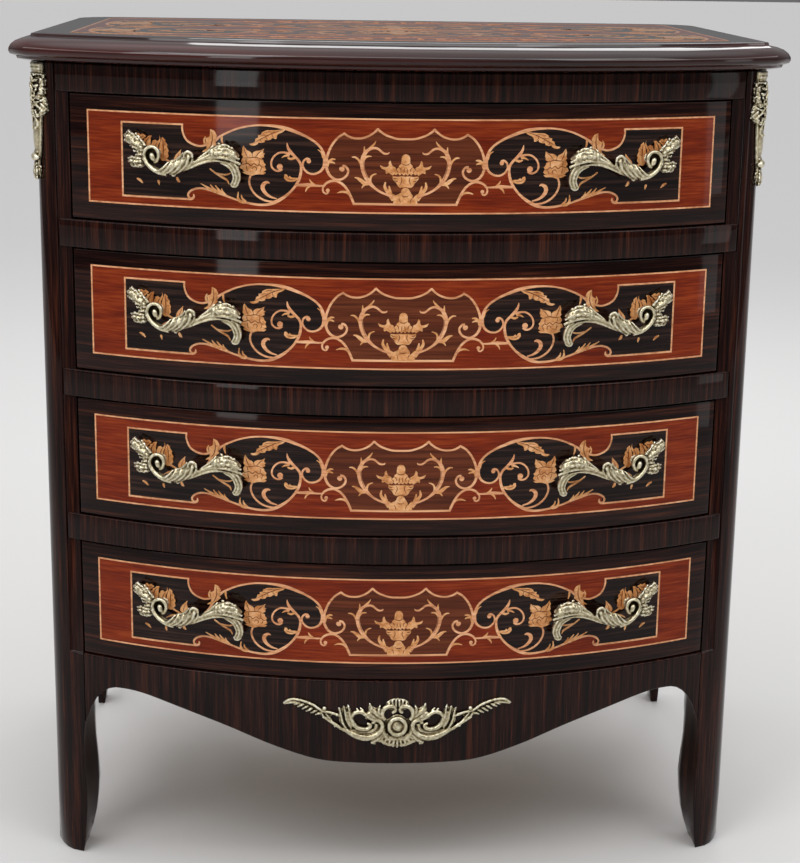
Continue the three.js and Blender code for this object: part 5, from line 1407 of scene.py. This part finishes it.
timber_count = 0
for name, node in nodes.items():
    wide = name.endswith("_back") or name.startswith("back_") or name == "bottom_board"
    deep = name.endswith(("_side_left", "_side_right", "_bottom")) or name.startswith("runner")
    if (wide or deep) and not name.endswith("_post"):
        node.data.materials.clear()
        node.data.materials.append(wide_timber if wide else deep_timber)
        timber_count += 1
print("plain timber nodes:", timber_count)

# %% [markdown]
# The stage is a plain pale floor and soft light. Big lamps stand for the windows and long
# ceiling lights of a bright room: the lacquer mirrors them as streaks, which is what makes it
# read as lacquer. The world is a plain sky that brightens upwards, to the same end.

# %% Floor
bpy.ops.object.select_all(action="DESELECT")
bpy.ops.mesh.primitive_plane_add(size=80, location=(0, 0, 0))
floor = bpy.context.object
floor.name = "floor"
floor_material, _, floor_shader = new_material("pale_floor")
floor_shader.inputs["Base Color"].default_value = (0.54, 0.535, 0.525, 1)
floor_shader.inputs["Roughness"].default_value = 0.8
floor.data.materials.append(floor_material)
print("floor", tuple(floor.dimensions))

# %% Lamps and sky
LAMPS = (
    # name, place, what it faces, width and height, watts
    ("high_left_lamp", (-1.9, -2.3, 3.0), (0, -0.1, 0.5), (1.6, 1.6), 34),
    ("high_right_lamp", (2.0, -1.9, 2.9), (0, -0.1, 0.5), (1.4, 1.4), 18),
    ("back_lamp", (0.4, 2.6, 2.6), (0, 0, 0.5), (2.0, 1.4), 30),
    ("left_window", (-1.75, -3.1, 1.27), (0, -0.2, 0.9), (0.5, 1.5), 9),
    ("long_strip", (0, -1.6, 2.6), (0, -0.3, 0.9), (3.4, 0.25), 12),
    ("left_strip", (-2.5, -0.9, 2.3), (-0.3, -0.2, 0.9), (2.6, 0.25), 7),
    ("right_strip", (2.5, -0.7, 2.3), (0.3, -0.2, 0.9), (2.6, 0.25), 5),
    ("right_window", (2.6, -1.2, 1.0), (0, 0, 0.5), (0.3, 1.6), 2),
)
for name, place, target, size, watts in LAMPS:
    light = bpy.data.lights.new(name, "AREA")
    light.shape = "RECTANGLE"
    light.size, light.size_y = size
    light.energy = watts
    aim = (Vector(target) - Vector(place)).to_track_quat("-Z", "Y")
    add(name, light).matrix_world = Matrix.Translation(place) @ aim.to_matrix().to_4x4()

world = bpy.data.worlds.new("room")
bpy.context.scene.world = world
world.use_nodes = True
sky_tree = world.node_tree
sky = sky_tree.nodes["Background"]
direction = sky_tree.nodes.new("ShaderNodeTexCoord")
split = sky_tree.nodes.new("ShaderNodeSeparateXYZ")
height = colour_ramp(sky_tree, ((0.0, (0.2, 0.2, 0.205)), (0.7, (1.0, 1.0, 1.02)),
                                (0.85, (2.4, 2.4, 2.45))))
sky_tree.links.new(direction.outputs["Generated"], split.inputs["Vector"])
sky_tree.links.new(split.outputs["Z"], height.inputs["Fac"])
sky_tree.links.new(height.outputs["Color"], sky.inputs["Color"])
sky.inputs["Strength"].default_value = 0.74
print("lamps:", len(bpy.data.lights))
